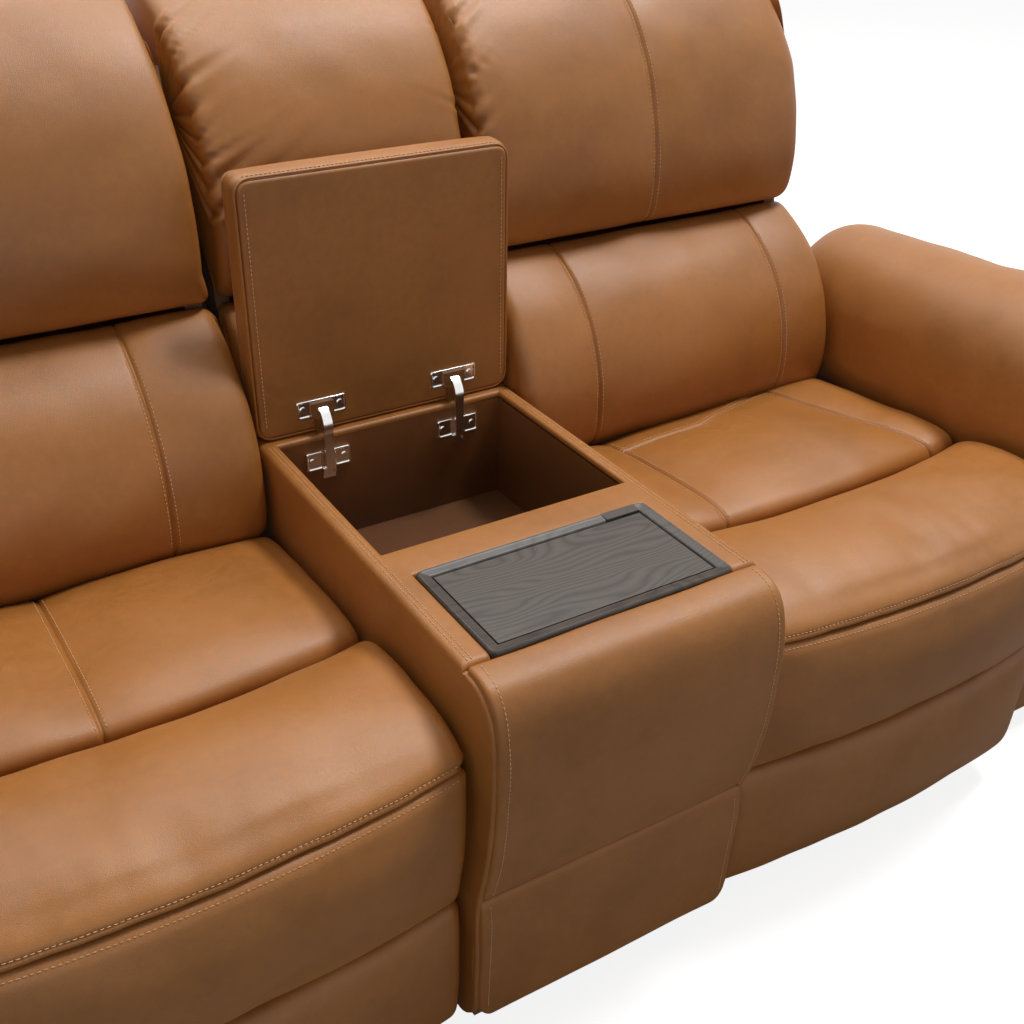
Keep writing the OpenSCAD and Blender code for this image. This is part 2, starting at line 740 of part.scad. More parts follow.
module lid_solid() {
    intersection() {
        side_slab(-half_w, half_w) translate([lid_front_y, lid_bottom_z])
            rounded_rectangle(lid_t, lid_l, lid_round);
        translate([-half_w, lid_front_y, 0]) linear_extrude(lid_bottom_z + lid_l)
            rounded_rectangle(console_w, lid_t, lid_round);
        translate([-half_w, lid_front_y + lid_t, lid_bottom_z]) rotate([90, 0, 0]) linear_extrude(lid_t)
            rounded_rectangle(console_w, lid_l, lid_round);
    }
}

module lid_cups_room() {
    at_hinges() cup_space(plate_t, plate_t);
}

module lid_board() {
    y0 = lid_front_y + lid_liner_t;
    color(plywood) difference() {
        block(-half_w + lid_round, half_w - lid_round, y0, y0 + lid_board_t,
            lid_bottom_z + lid_round, lid_bottom_z + lid_l - lid_round);
        lid_cups_room();
    }
}

module lid_cover() {
    y0 = lid_front_y + lid_liner_t;
    color(leather) difference() {
        lid_solid();
        block(-half_w + lid_round, half_w - lid_round, lid_front_y - cut, y0 + lid_board_t,
            lid_bottom_z + lid_round, lid_bottom_z + lid_l - lid_round);
        lid_cups_room();
    }
}

module lid_liner() {
    color(leather_dark) difference() {
        block(-half_w + lid_round, half_w - lid_round, lid_front_y, lid_front_y + lid_liner_t,
            lid_bottom_z + lid_round, lid_bottom_z + lid_l - lid_round);
        lid_cups_room();
    }
}

// Centre back

module center_back_frame() {
    x1 = center_w / 2 - pad_side;
    x0 = x1 - board_t;
    u0 = center_set;
    u1 = u0 + back_frame_t;
    top_w = back_frame_l - board_t;
    color(plywood) {
        both_sides() side_slab(x0, x1) polygon([
            [console_rear_y, leg_h], [console_rear_y, console_h],
            [back_y(u0, back_w(u0, console_h)), console_h],
            [back_y(u0, top_w), back_z(u0, top_w)], [back_y(u1, top_w), back_z(u1, top_w)],
            [back_y(u1, shell_low_w), back_z(u1, shell_low_w)],
            [rail_rear_y, leg_h + rear_rail_h], [rail_rear_y, leg_h],
        ]);
        for (w = [top_w - board_t, crease_w]) on_back() block(-x0, x0, u0, u1, w, w + board_t);
        block(-x0, x0, rail_rear_y - board_t, rail_rear_y, leg_h, leg_h + rear_rail_h);
    }
}

module center_lower_pad() {
    low_w = back_w(center_set, console_h) + pad_side;
    outline = soft_outline(fitted(center_lower_shares, [-center_set, low_w],
        [center_lower_t, crease_w - low_w]), 2);
    color(leather) on_back() soft_piece([for (p = outline) [-p[0], p[1]]], -center_w / 2, center_w / 2,
        pad_section_shares, no_seam_shares, [center_set, (low_w + crease_w) / 2], [0.55, 0.97]);
}

// A pillow in front of its frame that turns over and rests on the shell's top
function headrest_outline(shares, set, depth) = soft_outline(concat(
    fitted(shares, [-set, crease_w], [depth, head_l]),
    [[-headrest_reach, rest_w, 0.3], [-set, rest_w, 0.1]]
), 2);

module center_headrest() {
    outline = headrest_outline(center_head_shares, center_set, center_head_t);
    color(leather) on_back() soft_piece([for (p = outline) [-p[0], p[1]]], -center_w / 2, center_w / 2,
        plain_section_shares, no_seam_shares, [center_set, rest_w], [0.6, 0.94]);
}

// The hollow rear shell of a back, open to the front and below
module back_shell(x0, x1, u0, low_w) {
    color(leather) on_back() difference() {
        side_slab(x0, x1) shell_profile(u0, low_w, 0);
        side_slab(x0 + shell_t, x1 - shell_t) shell_profile(u0 - cut, low_w - cut, shell_t);
    }
}

module shell_profile(u0, low_w, skin) {
    r = shell_round - skin;
    translate([u0, low_w]) square([shell_u - shell_round - u0, shell_top_w - skin - low_w]);
    translate([u0, low_w]) square([shell_u - skin - u0, shell_top_w - shell_round - low_w]);
    translate([shell_u - shell_round, shell_top_w - shell_round]) circle(r = r);
}

module center_back_shell() {
    back_shell(-center_w / 2 + pad_side, center_w / 2 - pad_side, center_set + back_frame_t, shell_low_w);
}

// Arms

module arm_frames() {
    x0 = arm_frame_x0;
    x1 = arm_frame_x1;
    color(plywood) both_sides() difference() {
        union() {
            block(x0, x0 + board_t, arm_board_y, arm_frame_rear_y, leg_h, arm_frame_h);
            block(x1 - board_t, x1, arm_board_y, arm_frame_rear_y, leg_h, arm_frame_h);
            block(x0, x1, arm_board_y, arm_board_y + board_t, leg_h, arm_frame_h);
            block(x0, x1, arm_frame_rear_y - board_t, arm_frame_rear_y, leg_h, arm_frame_h);
            block(x0, x1, arm_board_y, arm_frame_rear_y, arm_frame_h - board_t, arm_frame_h);
            block(x0, x1, arm_board_y, arm_frame_rear_y, leg_h, leg_h + board_t);
        }
        drive_hole();
    }
}

module drive_hole() {
    translate([arm_x0 - cut, drive_y, drive_z]) rotate([0, 90, 0])
        cylinder(r = drive_r + cut, h = arm_w + cut);
}

module arm_outer_panels() {
    x0 = arm_frame_x0 - arm_panel_t;
    x1 = arm_frame_x1 + arm_panel_t;
    y0 = arm_front_y + arm_pad_l;
    y1 = arm_frame_rear_y + arm_panel_t;
    top = arm_frame_h + arm_panel_t;
    color(leather) both_sides() difference() {
        union() {
            block(arm_frame_x1, x1, arm_board_y, y1, leg_h, arm_frame_h);
            block(x0, x1, y0, y1, arm_frame_h, top);
            block(x0, x1, arm_frame_rear_y, y1, leg_h, top);
            block(x0, arm_frame_x0, y0, y1, leg_h + rear_rail_h + pad_side, top);
        }
        drive_hole();
    }
}

module arm_front_panels() {
    color(leather) both_sides()
        block(arm_frame_x0, arm_frame_x1 + arm_panel_t, arm_board_y - arm_panel_t, arm_board_y,
            leg_h, arm_frame_h);
}

module arm_pad(side) {
    rise = arm_h - arm_frame_h;
    outline = soft_outline(concat(
        [[arm_frame_x0, arm_frame_h - arm_skirt_share * rise, 0.2]],
        fitted(arm_pad_shares, [arm_x0, arm_frame_h], [arm_w, rise]),
        [[arm_frame_x0, arm_frame_h, 0.1]]
    ), 2);
    turned = [for (p = outline) [-p[0], p[1]]];
    color(leather) on_side(side) rotate([0, 0, 90])
        soft_piece([for (i = [len(turned) - 1 : -1 : 0]) turned[i]], arm_front_y, arm_front_y + arm_pad_l,
            plain_section_shares, no_seam_shares, [-arm_frame_x0, arm_frame_h], [0.9, 0.72],
            taper = (arm_h - arm_rear_h) / rise);
}

// Base

module rear_rail() {
    color(plywood) block(-arm_frame_x0, arm_frame_x0, rail_rear_y, rail_rear_y + rear_rail_t,
        leg_h, leg_h + rear_rail_h);
}

module feet() {
    arm_mid_x = (arm_frame_x0 + arm_frame_x1) / 2;
    console_x = inner_half_w - foot_d;
    places = concat(
        [for (y = [arm_board_y + foot_d, arm_frame_rear_y - foot_d]) [arm_mid_x, y]],
        [for (y = [front_board_y + foot_d, console_rear_y - foot_d]) [console_x, y]],
        [for (y = [drive_y - foot_d / 2, rail_rear_y - foot_d]) each [
            [seat_x0 + plate_x + foot_d / 2, y], [seat_x1 - plate_x - foot_d / 2, y],
        ]]
    );
    color(black) both_sides() for (p = places) translate([p[0], p[1], 0]) cylinder(d = foot_d, h = leg_h);
}

// Side plate of a recliner: foot rail, front post with the drive's bore, rear post with the back's pivot
module side_plate_shape() {
    lug_r = recline_pin_r + eye_w;
    difference() {
        union() {
            polygon([[post_front_y, leg_h], [rail_rear_y, leg_h], [rail_rear_y, foot_rail_z],
                [recline_y + lug_r, foot_rail_z], [recline_y + lug_r, recline_z],
                [recline_y - lug_r, recline_z], [recline_y - lug_r, frame_z],
                [recline_y - 4 * lug_r, frame_z],
                [recline_y - 3 * lug_r, foot_rail_z], [post_rear_y, foot_rail_z], [post_rear_y, frame_z],
                [post_front_y, frame_z]]);
            translate([recline_y, recline_z]) circle(r = lug_r);
        }
        translate([drive_y, drive_z]) circle(r = drive_r + bore_gap);
    }
}

module recliner_side_plates() {
    slot_r = link_pin_r + bore_gap;
    color(steel) both_sides() seat_ends() {
        difference() {
            side_slab(seat_x0 + plate_x, seat_x0 + plate_x + steel_t) side_plate_shape();
            translate([seat_x0, drive_y, drive_z]) rotate([-tong_tilt, 0, 0]) {
                block(plate_x - cut, plate_x + steel_t + cut, -slot_r, slot_r, -slot_low, -slot_high);
                for (z = [-slot_low, -slot_high]) translate([plate_x - cut, 0, z]) rotate([0, 90, 0])
                    cylinder(r = slot_r, h = steel_t + 2 * cut);
            }
            translate([seat_x0, recline_y, recline_z]) rotate([0, 90, 0])
                cylinder(r = recline_pin_r + bore_gap, h = 2 * plate_x);
        }
        block(seat_x0 + plate_x + steel_t, seat_x0 + plate_x + foot_d, post_front_y, rail_rear_y,
            leg_h, leg_h + steel_t);
    }
}

// Sinuous spring, drawn flat as a band that waves from rail to rail
module sinuous_spring(x, y0, y1) {
    steps = 60;
    turns = 5;
    band = [for (s = [-1, 1]) [for (k = [0 : steps])
        let (t = s < 0 ? k / steps : 1 - k / steps)
        let (slope = -2 * PI * turns * spring_swing * sin(360 * t * turns) / (y1 - y0))
        let (side = [1, -slope] / norm([1, -slope]))
        [x + spring_swing * cos(360 * t * turns), y0 + (y1 - y0) * t] + s * spring_r * side]];
    translate([0, 0, frame_top_z - 4 * spring_r]) linear_extrude(2 * spring_r)
        polygon(concat(band[0], band[1]));
}

module seat_springs() {
    y0 = seat_frame_y + frame_rail_w;
    y1 = cushion_rear_y + frame_tail - frame_rail_w;
    pitch = (seat_w - 2 * frame_rail_w) / (spring_n + 1);
    color(steel) both_sides() for (i = [1 : spring_n])
        sinuous_spring(seat_x0 + frame_rail_w + pitch * i, y0, y1);
}

// Seats

module seat_frame(side) {
    x0 = seat_x0 + 2 * pad_side;
    x1 = seat_x1 - 2 * pad_side;
    y0 = seat_frame_y;
    y1 = cushion_rear_y + frame_tail;
    color(plywood) on_side(side) difference() {
        block(x0, x1, y0, y1, frame_z, frame_top_z);
        block(x0 + frame_rail_w, x1 - frame_rail_w, y0 + frame_rail_w, y1 - frame_rail_w,
            frame_z - cut, frame_top_z + cut);
    }
}

function cushion_sections(side) = side == left ? middle_section_shares : lumbar_section_shares;

module seat_cushion(side) {
    outline = soft_outline(fitted(cushion_shares, [crease_y + crease_gap, frame_top_z],
        [cushion_l, cushion_h - frame_top_z]), 2);
    seams = side == left ? middle_seam_shares : lumbar_seam_shares;
    color(leather) on_side(side) soft_piece([for (i = [len(outline) - 1 : -1 : 0]) outline[i]],
        seat_x0 + pad_side, seat_x1 - pad_side, cushion_sections(side), seams,
        [crease_y + crease_gap, frame_top_z], [0.96, 0.80], bow = seat_bow);
}

split_front_y = seat_front_y + bolster_front_share * footrest_d;
function split_z(y) = split_h - (y - split_front_y) * tan(split_slope);

module bolster(side) {
    drop = split_gap / cos(split_slope);
    inner_y = split_front_y + (split_h + drop - frame_top_z) / tan(split_slope);
    body = fitted(bolster_shares, [seat_front_y, frame_top_z], [bolster_l, seat_h - frame_top_z]);
    outline = soft_outline(concat(
        [[inner_y, frame_top_z, 0.1], [split_front_y, split_h + drop, 0.2]],
        [for (i = [1 : len(body) - 1]) body[i]]
    ), 2);
    color(leather) on_side(side) soft_piece([for (i = [len(outline) - 1 : -1 : 0]) outline[i]],
        seat_x0 + pad_side, seat_x1 - pad_side, cushion_sections(side), no_seam_shares,
        [inner_y, frame_top_z], [0.93, 0.93], bow = seat_bow);
}

// Backs that recline

module seat_back_frame(side) {
    x0 = seat_x0 + 2 * pad_side + shell_t;
    x1 = seat_x1 - 2 * pad_side - shell_t;
    eye_r = recline_pin_r + eye_w;
    bracket_x = seat_x0 + layer_1_x;
    color(plywood) on_side(side) on_back() difference() {
        block(x0, x1, 0, back_frame_t, frame_low_w, back_frame_l - board_t);
        block(bracket_x, 2 * seat_mid_x - bracket_x, -cut, back_frame_t + cut,
            frame_low_w + 2 * board_t, back_frame_l - 3 * board_t);
        seat_ends() block(x0 - cut, bracket_x, -cut, back_frame_t + cut, frame_low_w - cut,
            frame_low_w + 2 * board_t - recline_w / 2);
        seat_ends() block(bracket_x - cut, bracket_x + steel_t, -cut, back_frame_t + cut, frame_low_w - cut,
            frame_low_w + 2 * board_t + cut);
    }
    color(steel) on_side(side) on_back() seat_ends() {
        side_slab(bracket_x, bracket_x + steel_t) union() {
            translate([recline_u, recline_w]) circle(r = eye_r);
            translate([recline_u - eye_r, recline_w]) square([2 * eye_r, frame_low_w - recline_w + cut]);
            translate([0, frame_low_w]) square([back_frame_t, 8 * board_t]);
        }
        translate([seat_x0 + plate_x - steel_t, recline_u, recline_w]) rotate([0, 90, 0])
            cylinder(r = recline_pin_r, h = layer_1_x - plate_x + steel_t);
    }
}

module lumbar(side) {
    outline = soft_outline(fitted(lumbar_shares, [0, lumbar_low_w], [lumbar_t, lumbar_h]), 2);
    color(leather) on_side(side) on_back() soft_piece([for (p = outline) [-p[0], p[1]]],
        seat_x0 + pad_side, seat_x1 - pad_side, lumbar_section_shares, lumbar_seam_shares,
        [0, lumbar_low_w + lumbar_h / 2], [0.55, 0.97]);
}

module headrest(side) {
    outline = headrest_outline(headrest_shares, 0, headrest_t);
    color(leather) on_side(side) on_back() soft_piece([for (p = outline) [-p[0], p[1]]],
        seat_x0 + pad_side, seat_x1 - pad_side, middle_section_shares, middle_seam_shares,
        [0, rest_w], [0.6, 0.94]);
}

module seat_back_shell(side) {
    on_side(side) back_shell(seat_x0 + 2 * pad_side, seat_x1 - 2 * pad_side, back_frame_t, shell_low_w);
}

// Footrest

module footrest_board(side) {
    top = split_z(board_rear_y) - 2 * split_gap;
    low = leg_h + board_t;
    hole = link_pin_r + bore_gap;
    color(plywood) on_side(side)
        block(footrest_x0 + pad_side, footrest_x1 - pad_side, board_front_y, board_rear_y, low, top);
    color(steel) on_side(side) seat_ends() difference() {
        side_slab(seat_x0 + layer_1_x, seat_x0 + layer_1_x + link_t) union() {
            translate(drive_at + tong_at(2 * fold_e, 0)) circle(r = link_w / 2);
            translate([board_rear_y, drive_z - link_w]) square([bracket_d, 2 * link_w]);
        }
        link_bore(layer_1_x, drive_at + tong_at(2 * fold_e, 0), hole);
    }
}

module footrest_upper_pad(side) {
    pad_d = board_front_y - seat_front_y;
    body = fitted(upper_pad_shares, [0, footrest_seam_h], [pad_d, split_h - footrest_seam_h]);
    outline = soft_outline(concat(
        [for (p = body) [board_front_y - p[0], p[1], p[2]]],
        [[split_front_y, split_h, 0.2], [board_front_y, split_z(board_front_y), 0.1]]
    ), 2);
    color(leather) on_side(side) soft_piece(outline, footrest_x0, footrest_x1,
        plain_section_shares, no_seam_shares, [board_front_y, split_z(board_front_y)], [0.9, 0.9],
        bow = seat_bow);
}

module footrest_lower_pad(side) {
    pad_d = board_front_y - seat_front_y;
    body = fitted(lower_pad_shares, [0, leg_h], [pad_d, footrest_seam_h - leg_h]);
    outline = soft_outline([for (p = body) [board_front_y - p[0], p[1], p[2]]], 2);
    color(leather) on_side(side) soft_piece(outline, footrest_x0, footrest_x1,
        pad_section_shares, no_seam_shares, [board_front_y, footrest_seam_h], [0.7, 0.97], bow = seat_bow);
}

// Recliner links: two crossing pairs on each side of a seat. The first and third links lie in layer 1,
// the second and fourth in layer 2, which carry the pins.

module link_bar(layer_x, from, to) {
    way = unit(to - from);
    angle = atan2(way[1], way[0]);
    side_slab(seat_x0 + layer_x, seat_x0 + layer_x + link_t) {
        translate(from) circle(r = link_w / 2);
        translate(to) circle(r = link_w / 2);
        translate(from) rotate(angle) translate([0, -link_w / 2]) square([norm(to - from), link_w]);
    }
}

module link_bore(layer_x, at, r) {
    translate([seat_x0 + layer_x - cut / 2, at[0], at[1]]) rotate([0, 90, 0])
        cylinder(r = r, h = link_t + cut);
}

module link_pin(from_x, at) {
    translate([seat_x0 + from_x, at[0], at[1]]) rotate([0, 90, 0])
        cylinder(r = link_pin_r, h = layer_2_x - from_x);
}

first_low = drive_at + tong_at(fold_e, -fold_n);
second_low = drive_at + tong_at(0, -fold_n);
second_high = drive_at + tong_at(fold_e, 0);
third_low = drive_at + tong_at(2 * fold_e, -fold_n);
fourth_high = drive_at + tong_at(2 * fold_e, 0);

module drive_links(side) {
    hole = link_pin_r + bore_gap;
    color(steel) on_side(side) {
        seat_ends() difference() {
            link_bar(layer_1_x, drive_at, first_low);
            link_bore(layer_1_x, (drive_at + first_low) / 2, hole);
            link_bore(layer_1_x, first_low, hole);
            link_bore(layer_1_x, drive_at, drive_r);
        }
        translate([seat_x0 + plate_x - 2 * steel_t, drive_y, drive_z]) rotate([0, 90, 0])
            cylinder(r = drive_r, h = arm_frame_x1 + arm_panel_t + cut - seat_x0 - plate_x + 2 * steel_t);
    }
}

module lever(side) {
    hub_x = arm_frame_x1 + arm_panel_t + cut / 2;
    hub_r = drive_r + eye_w;
    lever_l = (arm_frame_h - lever_room - drive_z) / sin(lever_angle) - 2 * grip_r;
    angle = 180 - lever_angle;
    color(black) on_side(side) {
        difference() {
            side_slab(hub_x, hub_x + 3 * steel_t) {
                translate(drive_at) circle(r = hub_r);
                translate(drive_at) rotate(angle) translate([0, -grip_r]) square([lever_l, 2 * grip_r]);
                translate(drive_at) rotate(angle) translate([lever_l, 0]) circle(r = 2 * grip_r);
            }
            translate([0, drive_y, drive_z]) rotate([0, 90, 0])
                cylinder(r = drive_r, h = arm_frame_x1 + arm_panel_t + cut);
        }
    }
}

module second_links(side) {
    color(steel) on_side(side) seat_ends() {
        link_bar(layer_2_x, second_low, second_high);
        link_pin(plate_x, second_low);
        link_pin(layer_1_x, (second_low + second_high) / 2);
        link_pin(layer_1_x, second_high);
    }
}

module third_links(side) {
    hole = link_pin_r + bore_gap;
    color(steel) on_side(side) seat_ends() difference() {
        link_bar(layer_1_x, second_high, third_low);
        link_bore(layer_1_x, second_high, hole);
        link_bore(layer_1_x, (second_high + third_low) / 2, hole);
    }
}

module fourth_links(side) {
    color(steel) on_side(side) seat_ends() {
        link_bar(layer_2_x, first_low, fourth_high);
        link_pin(layer_1_x, first_low);
        link_pin(layer_1_x, (first_low + fourth_high) / 2);
        link_pin(layer_1_x, fourth_high);
    }
}

console_carcass();
console_side_panels();
console_front_cover();
console_kick_panel();
console_top_cover();
bin_liner();
tray_frame();
tray_panel();
tray_end_block();
hinge_wall_plates();
hinge_arms();
wall_plate_screws();
lid_board();
lid_cover();
lid_liner();
lid_hinge_cups();
lid_hinge_fasteners();
center_back_frame();
center_lower_pad();
center_headrest();
center_back_shell();
rear_rail();
feet();
recliner_side_plates();
seat_springs();
arm_outer_panels();
arm_front_panels();
arm_frames();
arm_pad(left);  // left_arm_pad
arm_pad(right);  // right_arm_pad
seat_frame(left);  // left_seat_frame
seat_cushion(left);  // left_seat_cushion
bolster(left);  // left_bolster
seat_back_frame(left);  // left_back_frame
lumbar(left);  // left_lumbar
headrest(left);  // left_headrest
seat_back_shell(left);  // left_back_shell
drive_links(left);  // left_drive_links
lever(left);  // left_lever
second_links(left);  // left_second_links
third_links(left);  // left_third_links
fourth_links(left);  // left_fourth_links
footrest_board(left);  // left_footrest_board
footrest_upper_pad(left);  // left_footrest_upper_pad
footrest_lower_pad(left);  // left_footrest_lower_pad
seat_frame(right);  // right_seat_frame
seat_cushion(right);  // right_seat_cushion
bolster(right);  // right_bolster
seat_back_frame(right);  // right_back_frame
lumbar(right);  // right_lumbar
headrest(right);  // right_headrest
seat_back_shell(right);  // right_back_shell
drive_links(right);  // right_drive_links
lever(right);  // right_lever
second_links(right);  // right_second_links
third_links(right);  // right_third_links
fourth_links(right);  // right_fourth_links
footrest_board(right);  // right_footrest_board
footrest_upper_pad(right);  // right_footrest_upper_pad
footrest_lower_pad(right);  // right_footrest_lower_pad
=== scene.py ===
import json
import math
import bpy
import bmesh
import numpy as np
from mathutils import Matrix, Vector, noise


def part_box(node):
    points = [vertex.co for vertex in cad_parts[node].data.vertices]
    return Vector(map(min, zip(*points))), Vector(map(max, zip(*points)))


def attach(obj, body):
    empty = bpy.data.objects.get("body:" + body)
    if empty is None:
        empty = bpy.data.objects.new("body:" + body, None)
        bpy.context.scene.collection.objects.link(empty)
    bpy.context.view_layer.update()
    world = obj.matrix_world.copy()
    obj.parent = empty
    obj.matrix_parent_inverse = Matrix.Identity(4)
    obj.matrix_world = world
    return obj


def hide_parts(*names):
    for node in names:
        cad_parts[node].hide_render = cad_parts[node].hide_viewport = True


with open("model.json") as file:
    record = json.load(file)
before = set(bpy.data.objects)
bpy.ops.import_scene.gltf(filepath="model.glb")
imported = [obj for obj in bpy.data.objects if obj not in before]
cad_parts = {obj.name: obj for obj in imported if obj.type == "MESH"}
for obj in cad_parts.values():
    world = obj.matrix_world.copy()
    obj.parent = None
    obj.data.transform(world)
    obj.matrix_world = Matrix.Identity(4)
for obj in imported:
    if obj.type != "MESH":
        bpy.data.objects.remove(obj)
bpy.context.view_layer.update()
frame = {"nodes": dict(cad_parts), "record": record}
MM = 0.001
scene = bpy.context.scene

# Materials


def add_node(tree, kind, links=(), **values):
    """A node with its links (source, socket, target). Values that start with _ go to its inputs."""
    node = tree.nodes.new("ShaderNode" + kind)
    for key, value in values.items():
        if key.startswith("_"):
            node.inputs[key[1:].replace("_", " ")].default_value = value
        else:
            setattr(node, key, value)
    for source, socket, target in links:
        tree.links.new(source.outputs[socket], node.inputs[target])
    return node


def new_material(name, **values):
    mat = bpy.data.materials.new(name)
    mat.use_nodes = True
    tree = mat.node_tree
    tree.nodes.clear()
    shader = add_node(tree, "BsdfPrincipled", **values)
    add_node(tree, "OutputMaterial", [(shader, "BSDF", "Surface")])
    return mat, tree, shader


def background_rays(tree):
    """1 for rays that show the background, straight or by gloss. 0 for rays that light the object."""
    rays = add_node(tree, "LightPath")
    gloss = add_node(tree, "Math", [(rays, "Is Glossy Ray", 0), (rays, "Is Transmission Ray", 1)],
                     operation="MAXIMUM")
    return add_node(tree, "Math", [(rays, "Is Camera Ray", 0), (gloss, 0, 1)], operation="MAXIMUM")


def stretched(tree, scale=(1, 1, 1)):
    coord = add_node(tree, "TexCoord")
    return add_node(tree, "Mapping", [(coord, "Object", "Vector")], _Scale=scale)


def noise_node(tree, coord, scale, detail=5, roughness=0.6):
    return add_node(tree, "TexNoise", [(coord, "Vector", "Vector")],
                    _Scale=scale, _Detail=detail, _Roughness=roughness)


def ramp(tree, source, socket, stops):
    node = add_node(tree, "ValToRGB", [(source, socket, "Fac")])
    elements = node.color_ramp.elements
    while len(elements) < len(stops):
        elements.new(0.5)
    for element, (position, color) in zip(elements, stops):
        element.position = position
        element.color = (*color, 1)
    return node


def multiply(tree, first, second, amount):
    """The color of two nodes, each given as (node, output), multiplied by the given share."""
    node = add_node(tree, "Mix", data_type="RGBA", blend_type="MULTIPLY")
    node.inputs[0].default_value = amount
    tree.links.new(first[0].outputs[first[1]], node.inputs[6])
    tree.links.new(second[0].outputs[second[1]], node.inputs[7])
    return node, 2


def paint(tree, shader, node, output=0):
    tree.links.new(node.outputs[output], shader.inputs["Base Color"])


def relief(tree, shader, source, socket, strength, distance):
    node = add_node(tree, "Bump", [(source, socket, "Height")], _Strength=strength, _Distance=distance)
    tree.links.new(node.outputs[0], shader.inputs["Normal"])


def roughness_range(tree, shader, source, low, high):
    node = add_node(tree, "MapRange", [(source, "Fac", "Value")], _To_Min=low, _To_Max=high)
    tree.links.new(node.outputs[0], shader.inputs["Roughness"])


def grey(value):
    return (value, value, value)


def linear(r, g, b):
    return tuple(((c / 255 + 0.055) / 1.055) ** 2.4 for c in (r, g, b))


def leather_material(name, light, middle, dark, grain=620, roughness=0.40):
    mat, tree, shader = new_material(name, _Specular_IOR_Level=0.5, _Coat_Weight=0.12, _Coat_Roughness=0.42)
    coord = stretched(tree)
    large = noise_node(tree, coord, 4.5)
    fine = noise_node(tree, coord, 85, 6)
    large_color = ramp(tree, large, "Fac", [(0.34, dark), (0.50, middle), (0.68, light)])
    fine_color = ramp(tree, fine, "Fac", [(0.32, grey(0.90)), (0.68, grey(1.06))])
    tinted = multiply(tree, (large_color, 0), (fine_color, 0), 0.7)
    # Pointiness tone: painted shade darkens the creases and hollows, and raised edges are lightened as wear.
    geometry = add_node(tree, "NewGeometry")
    crease_shade_and_edge_wear = ramp(tree, geometry, "Pointiness", [(0.40, grey(0.55)), (0.49, grey(1.0)), (0.58, grey(1.15))])
    shaded_and_worn = multiply(tree, tinted, (crease_shade_and_edge_wear, 0), 1.0)
    paint(tree, shader, *shaded_and_worn)
    cells = add_node(tree, "TexVoronoi", [(coord, "Vector", "Vector")],
                     feature="DISTANCE_TO_EDGE", _Scale=grain)
    pebbles = ramp(tree, cells, "Distance", [(0.0, grey(0.0)), (0.22, grey(0.85)), (0.6, grey(1.0))])
    creases = noise_node(tree, coord, 150, 4)
    height = add_node(tree, "Math", [(pebbles, 0, 0), (creases, "Fac", 1)], operation="ADD")
    relief(tree, shader, height, 0, 0.30, 0.0004)
    roughness_range(tree, shader, fine, roughness - 0.06, roughness + 0.12)
    return mat


def walnut_material(name, shade):
    """Grey-brown walnut with its grain along X."""
    mat, tree, shader = new_material(name)
    coord = stretched(tree, (1.0, 4.2, 4.2))
    wander = noise_node(tree, coord, 3.4, 2, 0.45)
    mixed = add_node(tree, "Mix", data_type="VECTOR")
    mixed.inputs[0].default_value = 0.42
    tree.links.new(coord.outputs[0], mixed.inputs[4])
    tree.links.new(wander.outputs["Color"], mixed.inputs[5])
    rings = add_node(tree, "TexWave", [(mixed, 1, "Vector")], wave_type="BANDS", bands_direction="Y",
                     _Scale=15.0, _Distortion=1.3, _Detail=5.0, _Detail_Scale=1.6, _Detail_Roughness=0.7)
    fibre = noise_node(tree, stretched(tree, (16, 420, 420)), 2.4, 5, 0.7)
    tones = [linear(*(c * shade for c in tone)) for tone in ((84, 77, 72), (98, 91, 84), (111, 103, 94))]
    ring_color = ramp(tree, rings, "Fac", [(0.0, tones[0]), (0.22, tones[1]), (1.0, tones[2])])
    fibre_color = ramp(tree, fibre, "Fac", [(0.3, grey(0.74)), (0.62, grey(1.08))])
    color = multiply(tree, (ring_color, 0), (fibre_color, 0), 0.7)
    paint(tree, shader, *color)
    relief(tree, shader, fibre, "Fac", 0.16, 0.0003)
    roughness_range(tree, shader, fibre, 0.36, 0.52)
    return mat


def marked_material(name, tones, band, marks, stretch, bump_size, **values):
    """Fine marks between two tones. marks gives the noise's scale, detail and roughness."""
    mat, tree, shader = new_material(name, **values)
    source = noise_node(tree, stretched(tree, stretch), *marks)
    paint(tree, shader, ramp(tree, source, "Fac", list(zip(band, tones))))
    relief(tree, shader, source, "Fac", *bump_size)
    return mat, tree, shader, source


def metal_material(name, color, roughness, stretch, scale):
    dark = tuple(0.84 * c for c in color)
    mat, tree, shader, source = marked_material(name, (dark, color), (0.3, 0.7), (scale, 4, 0.6), stretch,
                                                (0.05, 0.0003), _Metallic=1.0)
    roughness_range(tree, shader, source, roughness, roughness + 0.12)
    return mat


def plain_material(name, light, dark, scale, roughness, stretch=(1, 1, 1)):
    return marked_material(name, (dark, light), (0.32, 0.68), (scale, 6, 0.65), stretch, (0.15, 0.0004),
                           _Roughness=roughness)[0]


LEATHER = leather_material("leather", linear(172, 112, 54), linear(165, 106, 47), linear(152, 96, 40))
